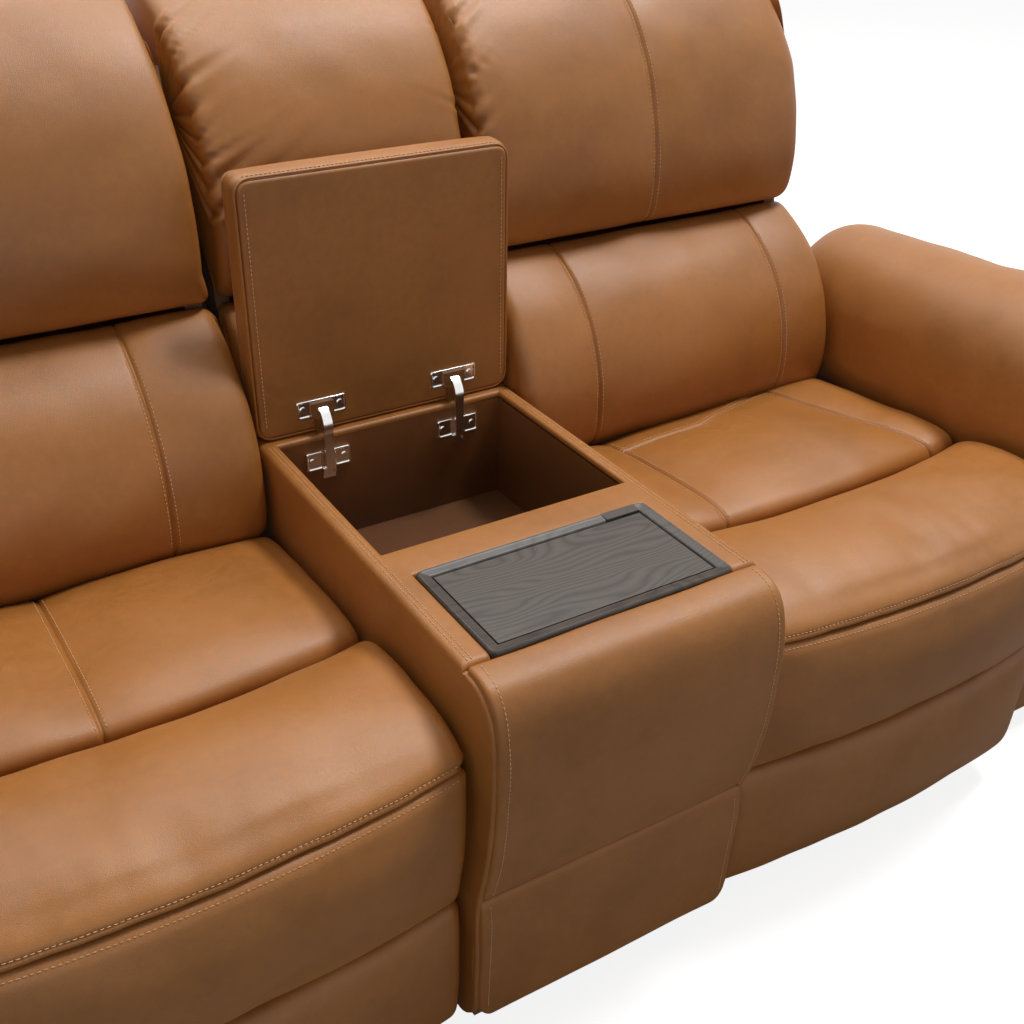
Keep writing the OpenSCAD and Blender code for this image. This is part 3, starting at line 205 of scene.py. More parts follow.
# A darker copy of the lining for the bin: painted shade for its floor and walls, which lie in shadow under
# the lid and walls.
SHADED_BIN_LINING = leather_material("bin_lining_painted_shade", linear(138, 84, 34), linear(128, 76, 29), linear(116, 68, 24),
                              760, 0.5)
LINING = leather_material("lining", linear(164, 102, 44), linear(156, 96, 38), linear(144, 87, 31), 760, 0.5)
THREAD = marked_material("thread", (linear(186, 140, 92), linear(232, 190, 142)), (0.35, 0.65), (900, 2, 0.6),
                         (1, 1, 1), (0.3, 0.0003), _Roughness=0.6)[0]
WALNUT = walnut_material("walnut", 0.78)
WALNUT_RIM = walnut_material("walnut_rim", 0.7)
PLATED = metal_material("plated", (0.93, 0.92, 0.90), 0.13, (1, 1, 1), 160)
STEEL = metal_material("steel", (0.42, 0.43, 0.45), 0.34, (40, 400, 400), 3)
# Plywood brown, darkened as painted shade so the frames seen through the gaps between pads look shaded.
PLYWOOD_DARKENED_AS_SHADE = plain_material("plywood", linear(128, 94, 62), linear(104, 74, 47), 6, 0.62, (2, 26, 26))
BLACK = plain_material("black", grey(0.035), grey(0.016), 320, 0.5)

# Shapes

ROUND_STEPS = 11
SIDE_SHARE = 0.49


def unit(v):
    return v / np.maximum(np.linalg.norm(v, axis=-1, keepdims=True), 1e-9)


def rounded(points):
    """A closed line through (a, b, reach) corners, each rounded over its reach."""
    line = []
    for i, (a, b, reach) in enumerate(points):
        at = np.array((a, b), float)
        before = np.array(points[i - 1][:2], float) - at
        after = np.array(points[(i + 1) % len(points)][:2], float) - at
        if reach <= 0:
            line.append(at)
            continue
        p0 = at + unit(before) * min(reach, SIDE_SHARE * np.linalg.norm(before))
        p1 = at + unit(after) * min(reach, SIDE_SHARE * np.linalg.norm(after))
        for t in np.linspace(0, 1, ROUND_STEPS):
            line.append((1 - t) ** 2 * p0 + 2 * t * (1 - t) * at + t * t * p1)
    return np.array(line)


def thin_out(values, fixed, least):
    """The fixed places, and the values that stay clear of all kept so far."""
    kept = sorted(fixed)
    for v in values:
        if all(abs(v - k) >= least for k in kept):
            kept.append(v)
    return np.array(sorted(kept))


def bump(distance, width):
    return np.exp(-(distance / width) ** 2)


def mesh_object(name, vertices, faces, material, turn=True):
    mesh = bpy.data.meshes.new(name)
    mesh.from_pydata(np.asarray(vertices).tolist(), [], faces)
    if turn:
        bm = bmesh.new()
        bm.from_mesh(mesh)
        bmesh.ops.recalc_face_normals(bm, faces=bm.faces)
        bm.to_mesh(mesh)
        bm.free()
    mesh.shade_smooth()
    mesh.materials.append(material)
    obj = bpy.data.objects.new(name, mesh)
    scene.collection.objects.link(obj)
    return obj


def apply_modifiers(obj):
    graph = bpy.context.evaluated_depsgraph_get()
    mesh = bpy.data.meshes.new_from_object(obj.evaluated_get(graph))
    obj.modifiers.clear()
    obj.data = mesh


def cut_boxes(obj, groups):
    """Cuts groups of boxes out of a piece. A box is (low corner, high corner) in millimetres."""
    for boxes in groups:
        bm = bmesh.new()
        for low, high in boxes:
            for v in bmesh.ops.create_cube(bm, size=1)["verts"]:
                v.co = [((a + b) / 2 + c * (b - a)) * MM for a, b, c in zip(low, high, v.co)]
        mesh = bpy.data.meshes.new("cutter")
        bm.to_mesh(mesh)
        bm.free()
        cutter = bpy.data.objects.new("cutter", mesh)
        scene.collection.objects.link(cutter)
        modifier = obj.modifiers.new("cut", "BOOLEAN")
        modifier.operation, modifier.solver, modifier.object = "DIFFERENCE", "EXACT", cutter
        apply_modifiers(obj)
        bpy.data.objects.remove(cutter)


def finish_piece(obj, body, replaced=()):
    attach(obj, body)
    if replaced:
        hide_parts(*replaced)


def faces_between(idx):
    """Faces between rows of numbered places that run round."""
    nxt = np.roll(idx, -1, -1)
    corners = [idx[..., :-1, :], nxt[..., :-1, :], nxt[..., 1:, :], idx[..., 1:, :]]
    return np.stack(corners, -1).reshape(-1, 4).tolist()


def numbered(*shape):
    return np.arange(math.prod(shape)).reshape(shape)


def finer(grid):
    """The grid after one step of smooth subdivision: its rows are open, its places run round."""
    after = np.roll(grid, -1, 1)
    even = (np.roll(grid, 1, 1) + 6 * grid + after) / 8
    grid = np.stack([even, (grid + after) / 2], 2).reshape(len(grid), -1, 3)
    fine = np.empty((2 * len(grid) - 1, *grid.shape[1:]))
    fine[::2], fine[1::2] = grid, (grid[:-1] + grid[1:]) / 2
    fine[2:-2:2] = (grid[:-2] + 6 * grid[1:-1] + grid[2:]) / 8
    return fine


def smoothed(values, passes):
    """Values in places that run round, evened out with their neighbours."""
    for _ in range(passes):
        values = 0.25 * np.roll(values, 1, 0) + 0.5 * values + 0.25 * np.roll(values, -1, 0)
    return values


NEAR_SEAM = (-9.0, -5.0, -2.6, -1.2, 0.0, 1.2, 2.6, 5.0, 9.0)
CAP_SHARES = (0.93, 0.8, 0.6, 0.35, 0.12)
END_TURNS = 6
PLEAT_RISE = 30.0
ROLL_OFFSET, ROLL_WIDTH = 7, 4
DENSE = 4000
FRONT_BAND = 2


class Pad:
    """A padded piece swept along an axis: a grid of stations along the axis by places round its outline."""

    def __init__(self, name, nodes, body, points, low, high, edge=15, far_edge=None, step=9, ring_step=7,
                 seams=(), ring_seams=(), axis="x", bulge=5, fill=0.8, smooth=2):
        self.name, self.nodes, self.body, self.fill = name, nodes, body, fill
        self.low, self.high, self.seams, self.ring_span = low, high, list(seams), (low, high)
        self.ends = (edge, edge if far_edge is None else far_edge)
        line = rounded(points)
        after = np.roll(line, -1, 0)
        if np.sum(line[:, 0] * after[:, 1] - after[:, 0] * line[:, 1]) < 0:
            line = line[::-1]
        self.closed = np.vstack([line, line[:1]])
        self.arc = np.concatenate([[0], np.cumsum(np.linalg.norm(np.diff(self.closed, axis=0), axis=1))])
        self.total = self.arc[-1]
        self.ring_marks = [self.arc_of(p) for p in ring_seams]
        fixed = [(m + d) % self.total for m in self.ring_marks for d in NEAR_SEAM]
        self.s = thin_out(np.arange(0, self.total, ring_step), fixed, 0.55 * ring_step if fixed else 0)
        ring = smoothed(self.on_line(self.s), smooth)
        tangent = unit(np.roll(ring, -1, 0) - np.roll(ring, 1, 0))
        normal = smoothed(np.stack([tangent[:, 1], -tangent[:, 0]], 1), int(max(self.ends) / ring_step) + 2)
        self.x, inset = self.stations(step)
        rows = [np.column_stack([np.full(len(ring), x), ring - normal * d]) for x, d in zip(self.x, inset)]
        caps = [self.cap(row, way * bulge) for row, way in ((rows[0], -1), (rows[-1], 1))]
        self.grid = np.array(caps[0][::-1] + rows + caps[1])
        if axis == "y":
            self.grid = self.grid[:, :, [1, 0, 2]]

    def stations(self, step):
        """Places along the axis, and how far the outline is drawn in at each."""
        a, b = self.ends
        fixed = [m + d for m in self.seams for d in NEAR_SEAM] + [self.low + a, self.high - b]
        body = thin_out(np.arange(self.low + a, self.high - b, step), fixed, 0.5 * step)
        turns = np.linspace(0, math.pi / 2, END_TURNS + 1)[:-1]
        first = [(self.low + a * (1 - math.cos(t)), a * (1 - math.sin(t))) for t in turns]
        last = [(self.high - b * (1 - math.cos(t)), b * (1 - math.sin(t))) for t in turns[::-1]]
        both = np.array(first + [(x, 0.0) for x in body] + last)
        return both[:, 0], both[:, 1]

    def cap(self, row, bulge):
        middle = row.mean(0)
        rings = []
        for k in CAP_SHARES:
            ring = middle + (row - middle) * k
            ring[:, 0] = row[0, 0] + bulge * (1 - k * k)
            rings.append(ring)
        return rings

    def on_line(self, s):
        return np.stack([np.interp(s, self.arc, self.closed[:, k]) for k in (0, 1)], 1)

    def arc_of(self, point):
        dense = np.linspace(0, self.total, DENSE)
        return dense[np.argmin(np.linalg.norm(self.on_line(dense) - np.array(point), axis=1))]

    def front_arc(self, height):
        """The place round the outline that faces the front at a height."""
        dense = np.linspace(0, self.total, DENSE)
        at = self.on_line(dense)
        return dense[np.argmin(at[:, 0] + 1e3 * (np.abs(at[:, 1] - height) > FRONT_BAND))]

    def rows(self):
        return slice(len(CAP_SHARES), len(self.grid) - len(CAP_SHARES))

    def normals(self):
        g = self.grid
        n = unit(np.cross(np.gradient(g, axis=0), np.roll(g, -1, 1) - np.roll(g, 1, 1)))
        return -n if np.sum((g - g.mean((0, 1))) * n) < 0 else n

    def facing(self, way):
        """1 where the pad faces the given way, 0 where it faces away."""
        return np.clip((self.normals()[self.rows()] @ np.array(way, float)) * 1.4 + 0.3, 0, 1)

    def push(self, amounts):
        """Moves the points along their normals. amounts covers the rows between the caps, in millimetres."""
        rows, caps = self.rows(), len(CAP_SHARES)
        full = np.zeros(self.grid.shape[:2])
        full[rows] = amounts
        share = np.linspace(0, 1, caps + 1)[:-1, None]
        full[:caps] = full[rows.start] * share
        full[rows.stop:] = full[rows.stop - 1] * share[::-1]
        self.grid = self.grid + self.normals() * full[:, :, None]

    def inward(self, mark):
        """The way along the axis from the end at mark, 1 or -1."""
        return 1 if mark < (self.low + self.high) / 2 else -1

    def crown(self, amount, power=2.4, show=1.0):
        """Puffs the pad between its seams and ends."""
        edges = [self.low] + sorted(self.seams) + [self.high]
        total, x = 0, self.x[:, None]
        for a, b in zip(edges[:-1], edges[1:]):
            t = np.clip((x - a) / (b - a), 0, 1)
            total = total + (x >= a) * (x <= b) * amount * (1 - np.abs(2 * t - 1) ** power)
        self.push(total * show)

    def wrinkle(self, amount, scale, seed, stretch=(1, 1, 1), show=1.0):
        flat = self.grid[self.rows()].reshape(-1, 3) * np.array(stretch) / scale + seed
        values = np.array([noise.noise(Vector(p)) for p in flat])
        self.push(amount * values.reshape(self.grid[self.rows()].shape[:2]) * show)

    def grooves(self, depth=2.0, width=1.9, roll=0.5):
        """Sinks the seams, with a roll of leather on each side. Seams round the outline keep to ring_span."""
        total, x = 0, self.x[:, None]
        inside = (x >= self.ring_span[0]) & (x <= self.ring_span[1])
        for mark in self.seams:
            d = np.abs(x - mark)
            total = total - depth * bump(d, width) + roll * bump(d - ROLL_OFFSET, ROLL_WIDTH)
        for mark in self.ring_marks:
            d = np.abs(self.s[None, :] - mark)
            d = np.minimum(d, self.total - d)
            total = total + inside * (roll * bump(d - ROLL_OFFSET, ROLL_WIDTH) - depth * bump(d, width))
        if self.seams or self.ring_marks:
            self.push(total)

    def pleats(self, edge_x, reach, depth, heights, seed):
        """Gathers that run in from a sewn edge at the given heights."""
        inward = np.maximum((self.x[:, None] - edge_x) * self.inward(edge_x), 0)
        total = 0
        for k, height in enumerate(heights):
            width = 4.6 + 1.6 * math.sin(seed + 1.7 * k)
            strength = depth * (0.75 + 0.25 * math.sin(2 * seed + 2.9 * k))
            fade = np.exp(-inward / (reach * (0.75 + 0.4 * math.sin(seed * 3 + k))))
            rise = (self.front_arc(height + PLEAT_RISE) - self.front_arc(height)) / PLEAT_RISE
            slope = rise * (0.5 + 0.16 * math.sin(seed + 2.3 * k))
            d = self.s[None, :] - self.front_arc(height) - slope * inward
            folds = 0.6 * bump(np.abs(d) - 2 * width, 1.1 * width) - bump(d, width)
            total = total + strength * fade * folds
        self.push(total)

    def at(self, x, s):
        """Points of the surface at stations x and places s, with their normals."""
        body, n = self.grid[self.rows()], self.normals()[self.rows()]
        x, s = np.broadcast_arrays(np.asarray(x, float), np.asarray(s, float) % self.total)
        j = np.clip(np.searchsorted(self.x, x) - 1, 0, len(self.x) - 2)
        u = np.clip((x - self.x[j]) / np.maximum(self.x[j + 1] - self.x[j], 1e-6), 0, 1)[..., None]
        ring_s = np.append(self.s, self.total + self.s[0])
        s = np.where(s < self.s[0], s + self.total, s)
        i = np.clip(np.searchsorted(ring_s, s, side="right") - 1, 0, len(self.s) - 1)
        v = ((s - ring_s[i]) / np.maximum(ring_s[i + 1] - ring_s[i], 1e-6))[..., None]
        i1 = (i + 1) % len(self.s)

        def mix(a):
            here, beyond = ((1 - v) * a[k, i] + v * a[k, i1] for k in (j, j + 1))
            return (1 - u) * here + u * beyond
        return mix(body), unit(mix(n))

    def build(self, level=1, cuts=()):
        grid = self.grid
        for _ in range(level):
            grid = finer(grid)
        rows, ring = grid.shape[:2]
        vertices = np.vstack([grid.reshape(-1, 3), grid[0].mean(0), grid[-1].mean(0)]) * MM
        idx = numbered(rows, ring)
        nxt = np.roll(idx, -1, 1)
        faces = faces_between(idx)
        first, last = idx.size, idx.size + 1
        faces += [[first, b, a] for a, b in zip(idx[0], nxt[0])]
        faces += [[last, a, b] for a, b in zip(idx[-1], nxt[-1])]
        obj = mesh_object(self.name, vertices, faces, LEATHER)
        cut_boxes(obj, cuts)
        finish_piece(obj, self.body, self.nodes)


SHARP_ANGLE = math.radians(38)
LEAST_RADIUS = 0.4
TUBE_SIDES = 8


def rounded_loop(x0, x1, y0, y1, r, steps=5):
    """Points round a rectangle with rounded corners, counterclockwise from the right side's top."""
    points = []
    a, b, c, d = x0 + r, x1 - r, y0 + r, y1 - r
    for cx, cy, start in ((b, d, 0), (a, d, 90), (a, c, 180), (b, c, 270)):
        for t in np.radians(start + np.linspace(0, 90, steps + 1)):
            points.append((cx + r * math.cos(t), cy + r * math.sin(t)))
    return np.array(points)


def moulding(name, rectangle, radius, profile, place, material, body, replaced=(), cuts=()):
    """A closed frame: (inset, height) pairs carried round a rounded rectangle. place sets it in space."""
    x0, x1, y0, y1 = rectangle
    vertices = []
    for inset, height in profile:
        loop = rounded_loop(x0 + inset, x1 - inset, y0 + inset, y1 - inset, max(radius - inset, LEAST_RADIUS))
        vertices += [np.array(place(a, b, height)) * MM for a, b in loop]
    idx = numbered(len(profile), len(vertices) // len(profile))
    obj = mesh_object(name, vertices, faces_between(np.vstack([idx, idx[:1]])), material)
    cut_boxes(obj, cuts)
    obj.data.shade_smooth()
    obj.data.set_sharp_from_angle(angle=SHARP_ANGLE)
    finish_piece(obj, body, replaced)


def tube(name, points, radius, body, closed=False):
    """A round leather welt along a line."""
    points = np.asarray(points, float)
    before = np.roll(points, 1, 0) if closed else np.vstack([points[:1] * 2 - points[1:2], points[:-1]])
    after = np.roll(points, -1, 0) if closed else np.vstack([points[1:], points[-1:] * 2 - points[-2:-1]])
    side = np.array((0.31, 0.83, 0.46))
    vertices = []
    for p, t in zip(points, unit(after - before)):
        side = unit(side - t * np.dot(side, t))
        other = np.cross(t, side)
        for angle in np.arange(TUBE_SIDES) * 2 * math.pi / TUBE_SIDES:
            vertices.append((p + radius * (side * math.cos(angle) + other * math.sin(angle))) * MM)
    idx = numbered(len(points), TUBE_SIDES)
    faces = faces_between(np.vstack([idx, idx[:1]]) if closed else idx)
    if not closed:
        faces += [idx[0].tolist(), idx[-1, ::-1].tolist()]
    finish_piece(mesh_object(name, vertices, faces, LEATHER), body)


STITCH_SHARES = np.array(((0, 0.45), (0.18, 0.95), (0.5, 1.0), (0.82, 0.95), (1, 0.45)))
STITCH_SIDES = 6
STITCH_LENGTH, STITCH_GAP, STITCH_RADIUS = 3.6, 1.8, 0.55
LINE_STEP = 4.0
SEAM_OFFSET = 5.6


class Thread:
    """Collects the stitches of one body in one mesh."""

    def __init__(self, body):
        self.body, self.blocks = body, []

    def row(self, points, normals):
        arc = np.concatenate([[0], np.cumsum(np.linalg.norm(np.diff(points, axis=0), axis=1))])
        count = int(arc[-1] / (STITCH_LENGTH + STITCH_GAP))
        if not count:
            return
        middle = (np.arange(count) + 0.5) * arc[-1] / count

        def along(values, offset=0.0):
            return np.stack([np.interp(middle + offset, arc, values[:, k]) for k in range(3)], 1)
        start, end = (along(points, way * STITCH_LENGTH / 2) for way in (-1, 1))
        normal = unit(along(normals))
        side = unit(np.cross(normal, end - start))
        turns = np.arange(STITCH_SIDES) * 2 * math.pi / STITCH_SIDES
        ring = side[:, None] * np.cos(turns)[:, None] + normal[:, None] * np.sin(turns)[:, None]
        t, width = STITCH_SHARES[:, 0], STITCH_SHARES[:, 1]
        lift = STITCH_RADIUS * (0.15 + 0.75 * np.sin(math.pi * t))
        centre = start[:, None] + (end - start)[:, None] * t[:, None] + normal[:, None] * lift[:, None]
        self.blocks.append(centre[:, :, None] + STITCH_RADIUS * width[:, None, None] * ring[:, None])

    def along_x(self, pad, s, low, high):
        self.row(*pad.at(np.arange(low, high, LINE_STEP), s))

    def along_s(self, pad, x, low, high):
        self.row(*pad.at(x, np.linspace(low, high, max(2, int(abs(high - low) / LINE_STEP)))))

    def beside(self, along, pad, mark, low, high):
        """A row on each side of a seam."""
        for offset in (-SEAM_OFFSET, SEAM_OFFSET):
            along(pad, mark + offset, low, high)

    def flat_row(self, points, normal):
        """A row with the same normal all along."""
        self.row(np.array(points), np.tile(np.array(normal, float), (len(points), 1)))

    def build(self):
        stitches = np.concatenate(self.blocks)
        idx = numbered(*stitches.shape[:3])
        faces = faces_between(idx) + idx[:, 0, ::-1].tolist() + idx[:, -1].tolist()
        finish_piece(mesh_object("stitches_" + self.body, stitches.reshape(-1, 3) * MM, faces, THREAD, False),
                     self.body)


# Cloth

SIM_FRAMES = 20
SIM_CAP = 24.0
SIM_CALM = 8
SIM_SHARE = 0.6
STIFFNESS = 14.0
HOLD_SLOPE, HOLD_WIDTH = 3, 6.0
pads, sim_jobs = [], []


def add(pad, show=None, pressure=4.0, growth=0.02):
    """Keeps a pad. One with a way to show joins the cloth run, and is held where it faces away from it."""
    pads.append(pad)
    if show:
        sim_jobs.append((pad, show, pressure, growth))
    return pad


def cloth_hold(pad, show):
    """1 where the leather is sewn down or rests on something, 0 where it is free."""
    hold = 1 - np.clip(pad.facing(show) * HOLD_SLOPE, 0, 1)
    for mark in pad.seams + [pad.low, pad.high]:
        hold = np.maximum(hold, bump(pad.x[:, None] - mark, HOLD_WIDTH))
    for mark in pad.ring_marks:
        hold = np.maximum(hold, bump(pad.s[None, :] - mark, HOLD_WIDTH))
    full = np.ones(pad.grid.shape[:2])
    full[pad.rows()] = hold
    return full


def cloth_object(pad, show, pressure, growth):
    idx = numbered(*pad.grid.shape[:2])
    faces = faces_between(idx) + [idx[0, ::-1].tolist(), idx[-1].tolist()]
    obj = mesh_object("sim_" + pad.name, pad.grid.reshape(-1, 3) * MM, faces, LEATHER)
    group = obj.vertex_groups.new(name="pin")
    for vertex, weight in enumerate(cloth_hold(pad, show).reshape(-1)):
        if weight > 0.01:
            group.add([vertex], float(min(weight, 1.0)), "REPLACE")
    cloth = obj.modifiers.new("cloth", "CLOTH")
    values = dict(quality=5, mass=0.4, tension_stiffness=STIFFNESS, compression_stiffness=STIFFNESS,
                  shear_stiffness=STIFFNESS / 2, bending_stiffness=1.5, shrink_min=-growth, use_pressure=True,
                  uniform_pressure_force=pressure, vertex_group_mass="pin")
    for key, value in values.items():
        setattr(cloth.settings, key, value)
    cloth.settings.effector_weights.gravity = 0
    cloth.collision_settings.use_collision = False
    cloth.point_cache.frame_start = 1
    cloth.point_cache.frame_end = SIM_FRAMES
    return obj


def calmed(move):
    """The cloth's moves with their small ripples smoothed out, as in taut leather over foam."""
    for _ in range(SIM_CALM):
        ends = np.concatenate([move[:1], move, move[-1:]])
        move = (ends[:-2] + 2 * move + ends[2:]) / 4
        move = (np.roll(move, 1, 1) + 2 * move + np.roll(move, -1, 1)) / 4
    return move


def run_simulations():
    """Puffs the marked pads with Blender's cloth and takes the result into their grids."""
    objects = [cloth_object(*job) for job in sim_jobs]
    for step in range(1, SIM_FRAMES + 1):
        scene.frame_set(step)
    graph = bpy.context.evaluated_depsgraph_get()
    for (pad, *_), obj in zip(sim_jobs, objects):
        mesh = obj.evaluated_get(graph).to_mesh()
        new = np.zeros(len(mesh.vertices) * 3)
        mesh.vertices.foreach_get("co", new)
        move = SIM_SHARE * calmed(np.nan_to_num(new.reshape(pad.grid.shape) / MM - pad.grid))
        size = np.linalg.norm(move, axis=2, keepdims=True)
        print("cloth", pad.name, "largest move %.1f mm" % size.max())
        pad.grid = pad.grid + move * np.minimum(1, SIM_CAP / np.maximum(size, 1e-9))
        obj.evaluated_get(graph).to_mesh_clear()
        bpy.data.objects.remove(obj)
    scene.frame_set(1)


# Sizes from the frame, in millimetres


def node_box(node):
    low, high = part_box(node)
    return np.array(low) / MM, np.array(high) / MM


SIDES = (("left", -1), ("right", 1))
LEAN = math.radians(12)
BACK_Y, HIP_Z = 125.0, 420.0
SEAT_LOW, SEAT_HIGH = node_box("right_seat_cushion")
PAD_SIDE = 2.0
SEAT_X0, SEAT_X1 = SEAT_LOW[0], SEAT_HIGH[0]
SEAT_W = SEAT_X1 - SEAT_X0 + 2 * PAD_SIDE
FOOTREST_X1 = node_box("right_footrest_upper_pad")[1][0]
FRAME_TOP_Z, CUSHION_Z = SEAT_LOW[2], SEAT_HIGH[2]
CUSHION_REAR_Y = SEAT_HIGH[1]
CREASE_Y, SEAT_FRONT_Y, BOARD_Y = -232.0, -465.0, -403.0
SPLIT_Z, SEAT_Z = 436.0, 469.0
SEAT_BOW = 28.0
BIN_LOW, BIN_HIGH = node_box("bin_liner")
LID_LOW, LID_HIGH = node_box("lid_cover")
TRAY_LOW, TRAY_HIGH = node_box("tray_frame")
BLOCK_LOW, BLOCK_HIGH = node_box("tray_end_block")
HINGE_X = 94.0


def on_back(u, w):
    """(y, z) of a place u behind and w up the plane of the seat backs."""
    cos, sin = math.cos(LEAN), math.sin(LEAN)
    return (BACK_Y + u * cos + w * sin, HIP_Z - u * sin + w * cos)


def back_points(points):
    return [(*on_back(u, w), r) for u, w, r in points]


def span(side, low, high):
    return (low, high) if side > 0 else (-high, -low)


def share_of(a, b, v):
    return np.clip((v - a) / (b - a), 0, 1)


def bow(pad):
    """The seat's crease and front seam sweep forward in the seat's middle."""
    x, y, z = (pad.grid[..., k] for k in range(3))
    along = 1 - (2 * (np.abs(x) - SEAT_X0 + PAD_SIDE) / SEAT_W - 1) ** 2
    height = share_of(FRAME_TOP_Z, CUSHION_Z, z)
    nose = np.maximum(share_of(BOARD_Y, SEAT_FRONT_Y, y), share_of(SPLIT_Z, SEAT_Z, z))
    front = np.where(y > BOARD_Y, height, nose)
    across = np.where(y > CREASE_Y, height * share_of(CUSHION_REAR_Y, CREASE_Y, y), front)
    pad.grid[..., 1] -= SEAT_BOW * np.clip(along, 0, 1) * across


def draw_in(pad, mark, reach, amount, z0, z1):
    """Pulls the pad in beside its end at mark, more the higher up from z0 to z1."""
    way, x, z = pad.inward(mark), pad.grid[..., 0], pad.grid[..., 2]
    pad.grid[..., 0] += way * amount * share_of(z0, z1, z) * share_of(reach, 0, (x - mark) * way)


def bend_station(pad, mark, reach, target):
    """Moves the seam at a station to the x that target gives for its points."""
    shift = target(pad.grid) - mark
    pad.grid[..., 0] += shift * bump(pad.grid[..., 0] - mark, reach)


def round_corner(pad, mark, radius, low_z):
    """Rounds the low corner at the pad's end at mark, seen from the front."""
    way, x, z = pad.inward(mark), pad.grid[..., 0], pad.grid[..., 2]
    rest = np.clip(radius - (z - low_z), 0, radius)
    cut = radius - np.sqrt(radius ** 2 - rest ** 2)
    pad.grid[..., 0] += way * cut * share_of(2.5 * radius, 0, (x - mark) * way)


def press_side(pad, side, low, high, y0, y1):
    """Presses a pad's sides back into the room from low to high: more from y0 on, fully behind y1."""
    x, y = side * pad.grid[..., 0], pad.grid[..., 1]
    pad.grid[..., 0] += side * (np.clip(x, low, high) - x) * share_of(y0, y1, y)


threads = {}


def thread(body):
    return threads.setdefault(body, Thread(body))


# Seats

CUSHION_OUTLINE = [(-229, 387, 0), (-231, 432, 12), (-221, 449, 22), (-170, 454, 60), (-90, 449, 60),
                   (0, 441, 60), (46, 430, 26), (64, 408, 16), (66, 387, 0)]
BOLSTER_OUTLINE = [(-408, 387, 0), (-450.5, 436.4, 3), (-463.5, 435.9, 3), (-466, 446, 14), (-446, 462, 40),
                   (-402, 471, 50), (-330, 474, 60), (-268, 467, 34), (-237, 449, 18), (-232, 430, 10),
                   (-233, 387, 0)]
LUMBAR_OUTLINE = [(0, -20, 0), (-40, -20, 20), (-84, -8, 34), (-104, 34, 40), (-113, 96, 50), (-105, 155, 50),
                  (-84, 204, 50), (-50, 244, 34), (-22, 268, 20), (-12, 275, 10), (0, 276, 0)]
HEAD_OUTLINE = [(0, 281, 0), (-20, 281, 12), (-37, 297, 20), (-53, 350, 40), (-57, 412, 60), (-52, 478, 60),
                (-34, 536, 60), (-2, 592, 70), (48, 644, 70), (110, 668, 60), (166, 650, 44), (192, 612, 26),
                (196, 582, 8), (186, 574, 0), (0, 574, 0)]
UPPER_OUTLINE = [(-403, 376, 0), (-407, 386, 0), (-450.5, 435.4, 3), (-463.5, 435.2, 3), (-467, 424, 14),
                 (-467, 380, 50), (-466, 330, 60), (-457, 280, 40), (-447, 244, 12), (-443, 236.3, 4),
                 (-403, 236.3, 0)]
LOWER_OUTLINE = [(-403, 235.7, 0), (-442, 235.7, 4), (-448, 228, 12), (-452, 200, 40), (-449, 140, 50),
                 (-446, 84, 40), (-441, 50, 18), (-424, 39, 10), (-403, 38, 0)]
LEFT_CUSHION_SEAM = -475.0
RIGHT_CUSHION_SEAMS = (319.0, 655.0)
LUMBAR_SEAMS = (308.0, 648.0)
HEAD_SEAM = 470.0
HEAD_EDGES = (14, 26)
REAR_SEAM_X = (317, 390, 465, 579, 617, 740)
REAR_SEAM_Y = (-9, -5, -3, 30, 38, 40)
REAR_SEAM_REACH = 60
SIDE_SEAM_REACH = 75
HEAD_PLEATS = (868, 900, 930, 962, 990, 1014)
LUMBAR_STITCHES, HEAD_STITCHES = (452, 668), (705, 1030)
SEAM_ENDS = ((-221, 449), (34, 432))
ROLL_STITCH, UPPER_STITCH, WELT_AT = (-465, 444), (-466, 430), (-463.5, 435.9)
WELT_SHIFT, WELT_RADIUS = np.array((0, 0.9, -0.6)), 4.1
FOOTREST_CORNER, FOOTREST_LOW_Z = 42, 38


def side_seam_x(points):
    """The right cushion's outer side seam runs outward to the front."""
    return 617 + 82 * np.clip((38 - points[..., 1]) / 270, 0, 1)


def seat_pad(name, side, part, body, outline, show, growth=0.02, **shape):
    """A pad over a seat's whole width."""
    low, high = span(side, SEAT_X0, SEAT_X1)
    pad = Pad(f"{name}_{part}_leather", (f"{name}_{part}",), body, outline, low, high, **shape)
    return add(pad, show, growth=growth)


def seat_cushion(name, side):
    seams = RIGHT_CUSHION_SEAMS if side > 0 else (LEFT_CUSHION_SEAM,)
    rings = [(0, 441)] if side > 0 else []
    pad = seat_pad(name, side, "seat_cushion", "base", CUSHION_OUTLINE, (0, 0, 1), seams=seams,
                   ring_seams=rings, fill=0.75)
    if side > 0:
        bend_station(pad, seams[1], SIDE_SEAM_REACH, side_seam_x)
        x, y = pad.grid[..., 0], pad.grid[..., 1]
        pad.grid[..., 1] += np.interp(x, REAR_SEAM_X, REAR_SEAM_Y) * bump(y, REAR_SEAM_REACH)
        pad.ring_span = seams
    pad.crown(6, 2.6, pad.facing((0, 0, 1)))
    bow(pad)
    return pad


def bolster(name, side):
    pad = seat_pad(name, side, "bolster", "base", BOLSTER_OUTLINE, (0, -0.5, 0.8), growth=0.03)
    bow(pad)
    pad.wrinkle(1.0, 24, 11.3 * side, (1, 0.12, 0.12), pad.facing((0, -1, 0.4)))
    return pad


def lumbar(name, side):
    pad = seat_pad(name, side, "lumbar", name + "_back", back_points(LUMBAR_OUTLINE), (0, -1, 0.2), edge=20,
                   seams=[side * s for s in LUMBAR_SEAMS])
    pad.crown(4, 2.4, pad.facing((0, -1, 0.3)))
    return pad


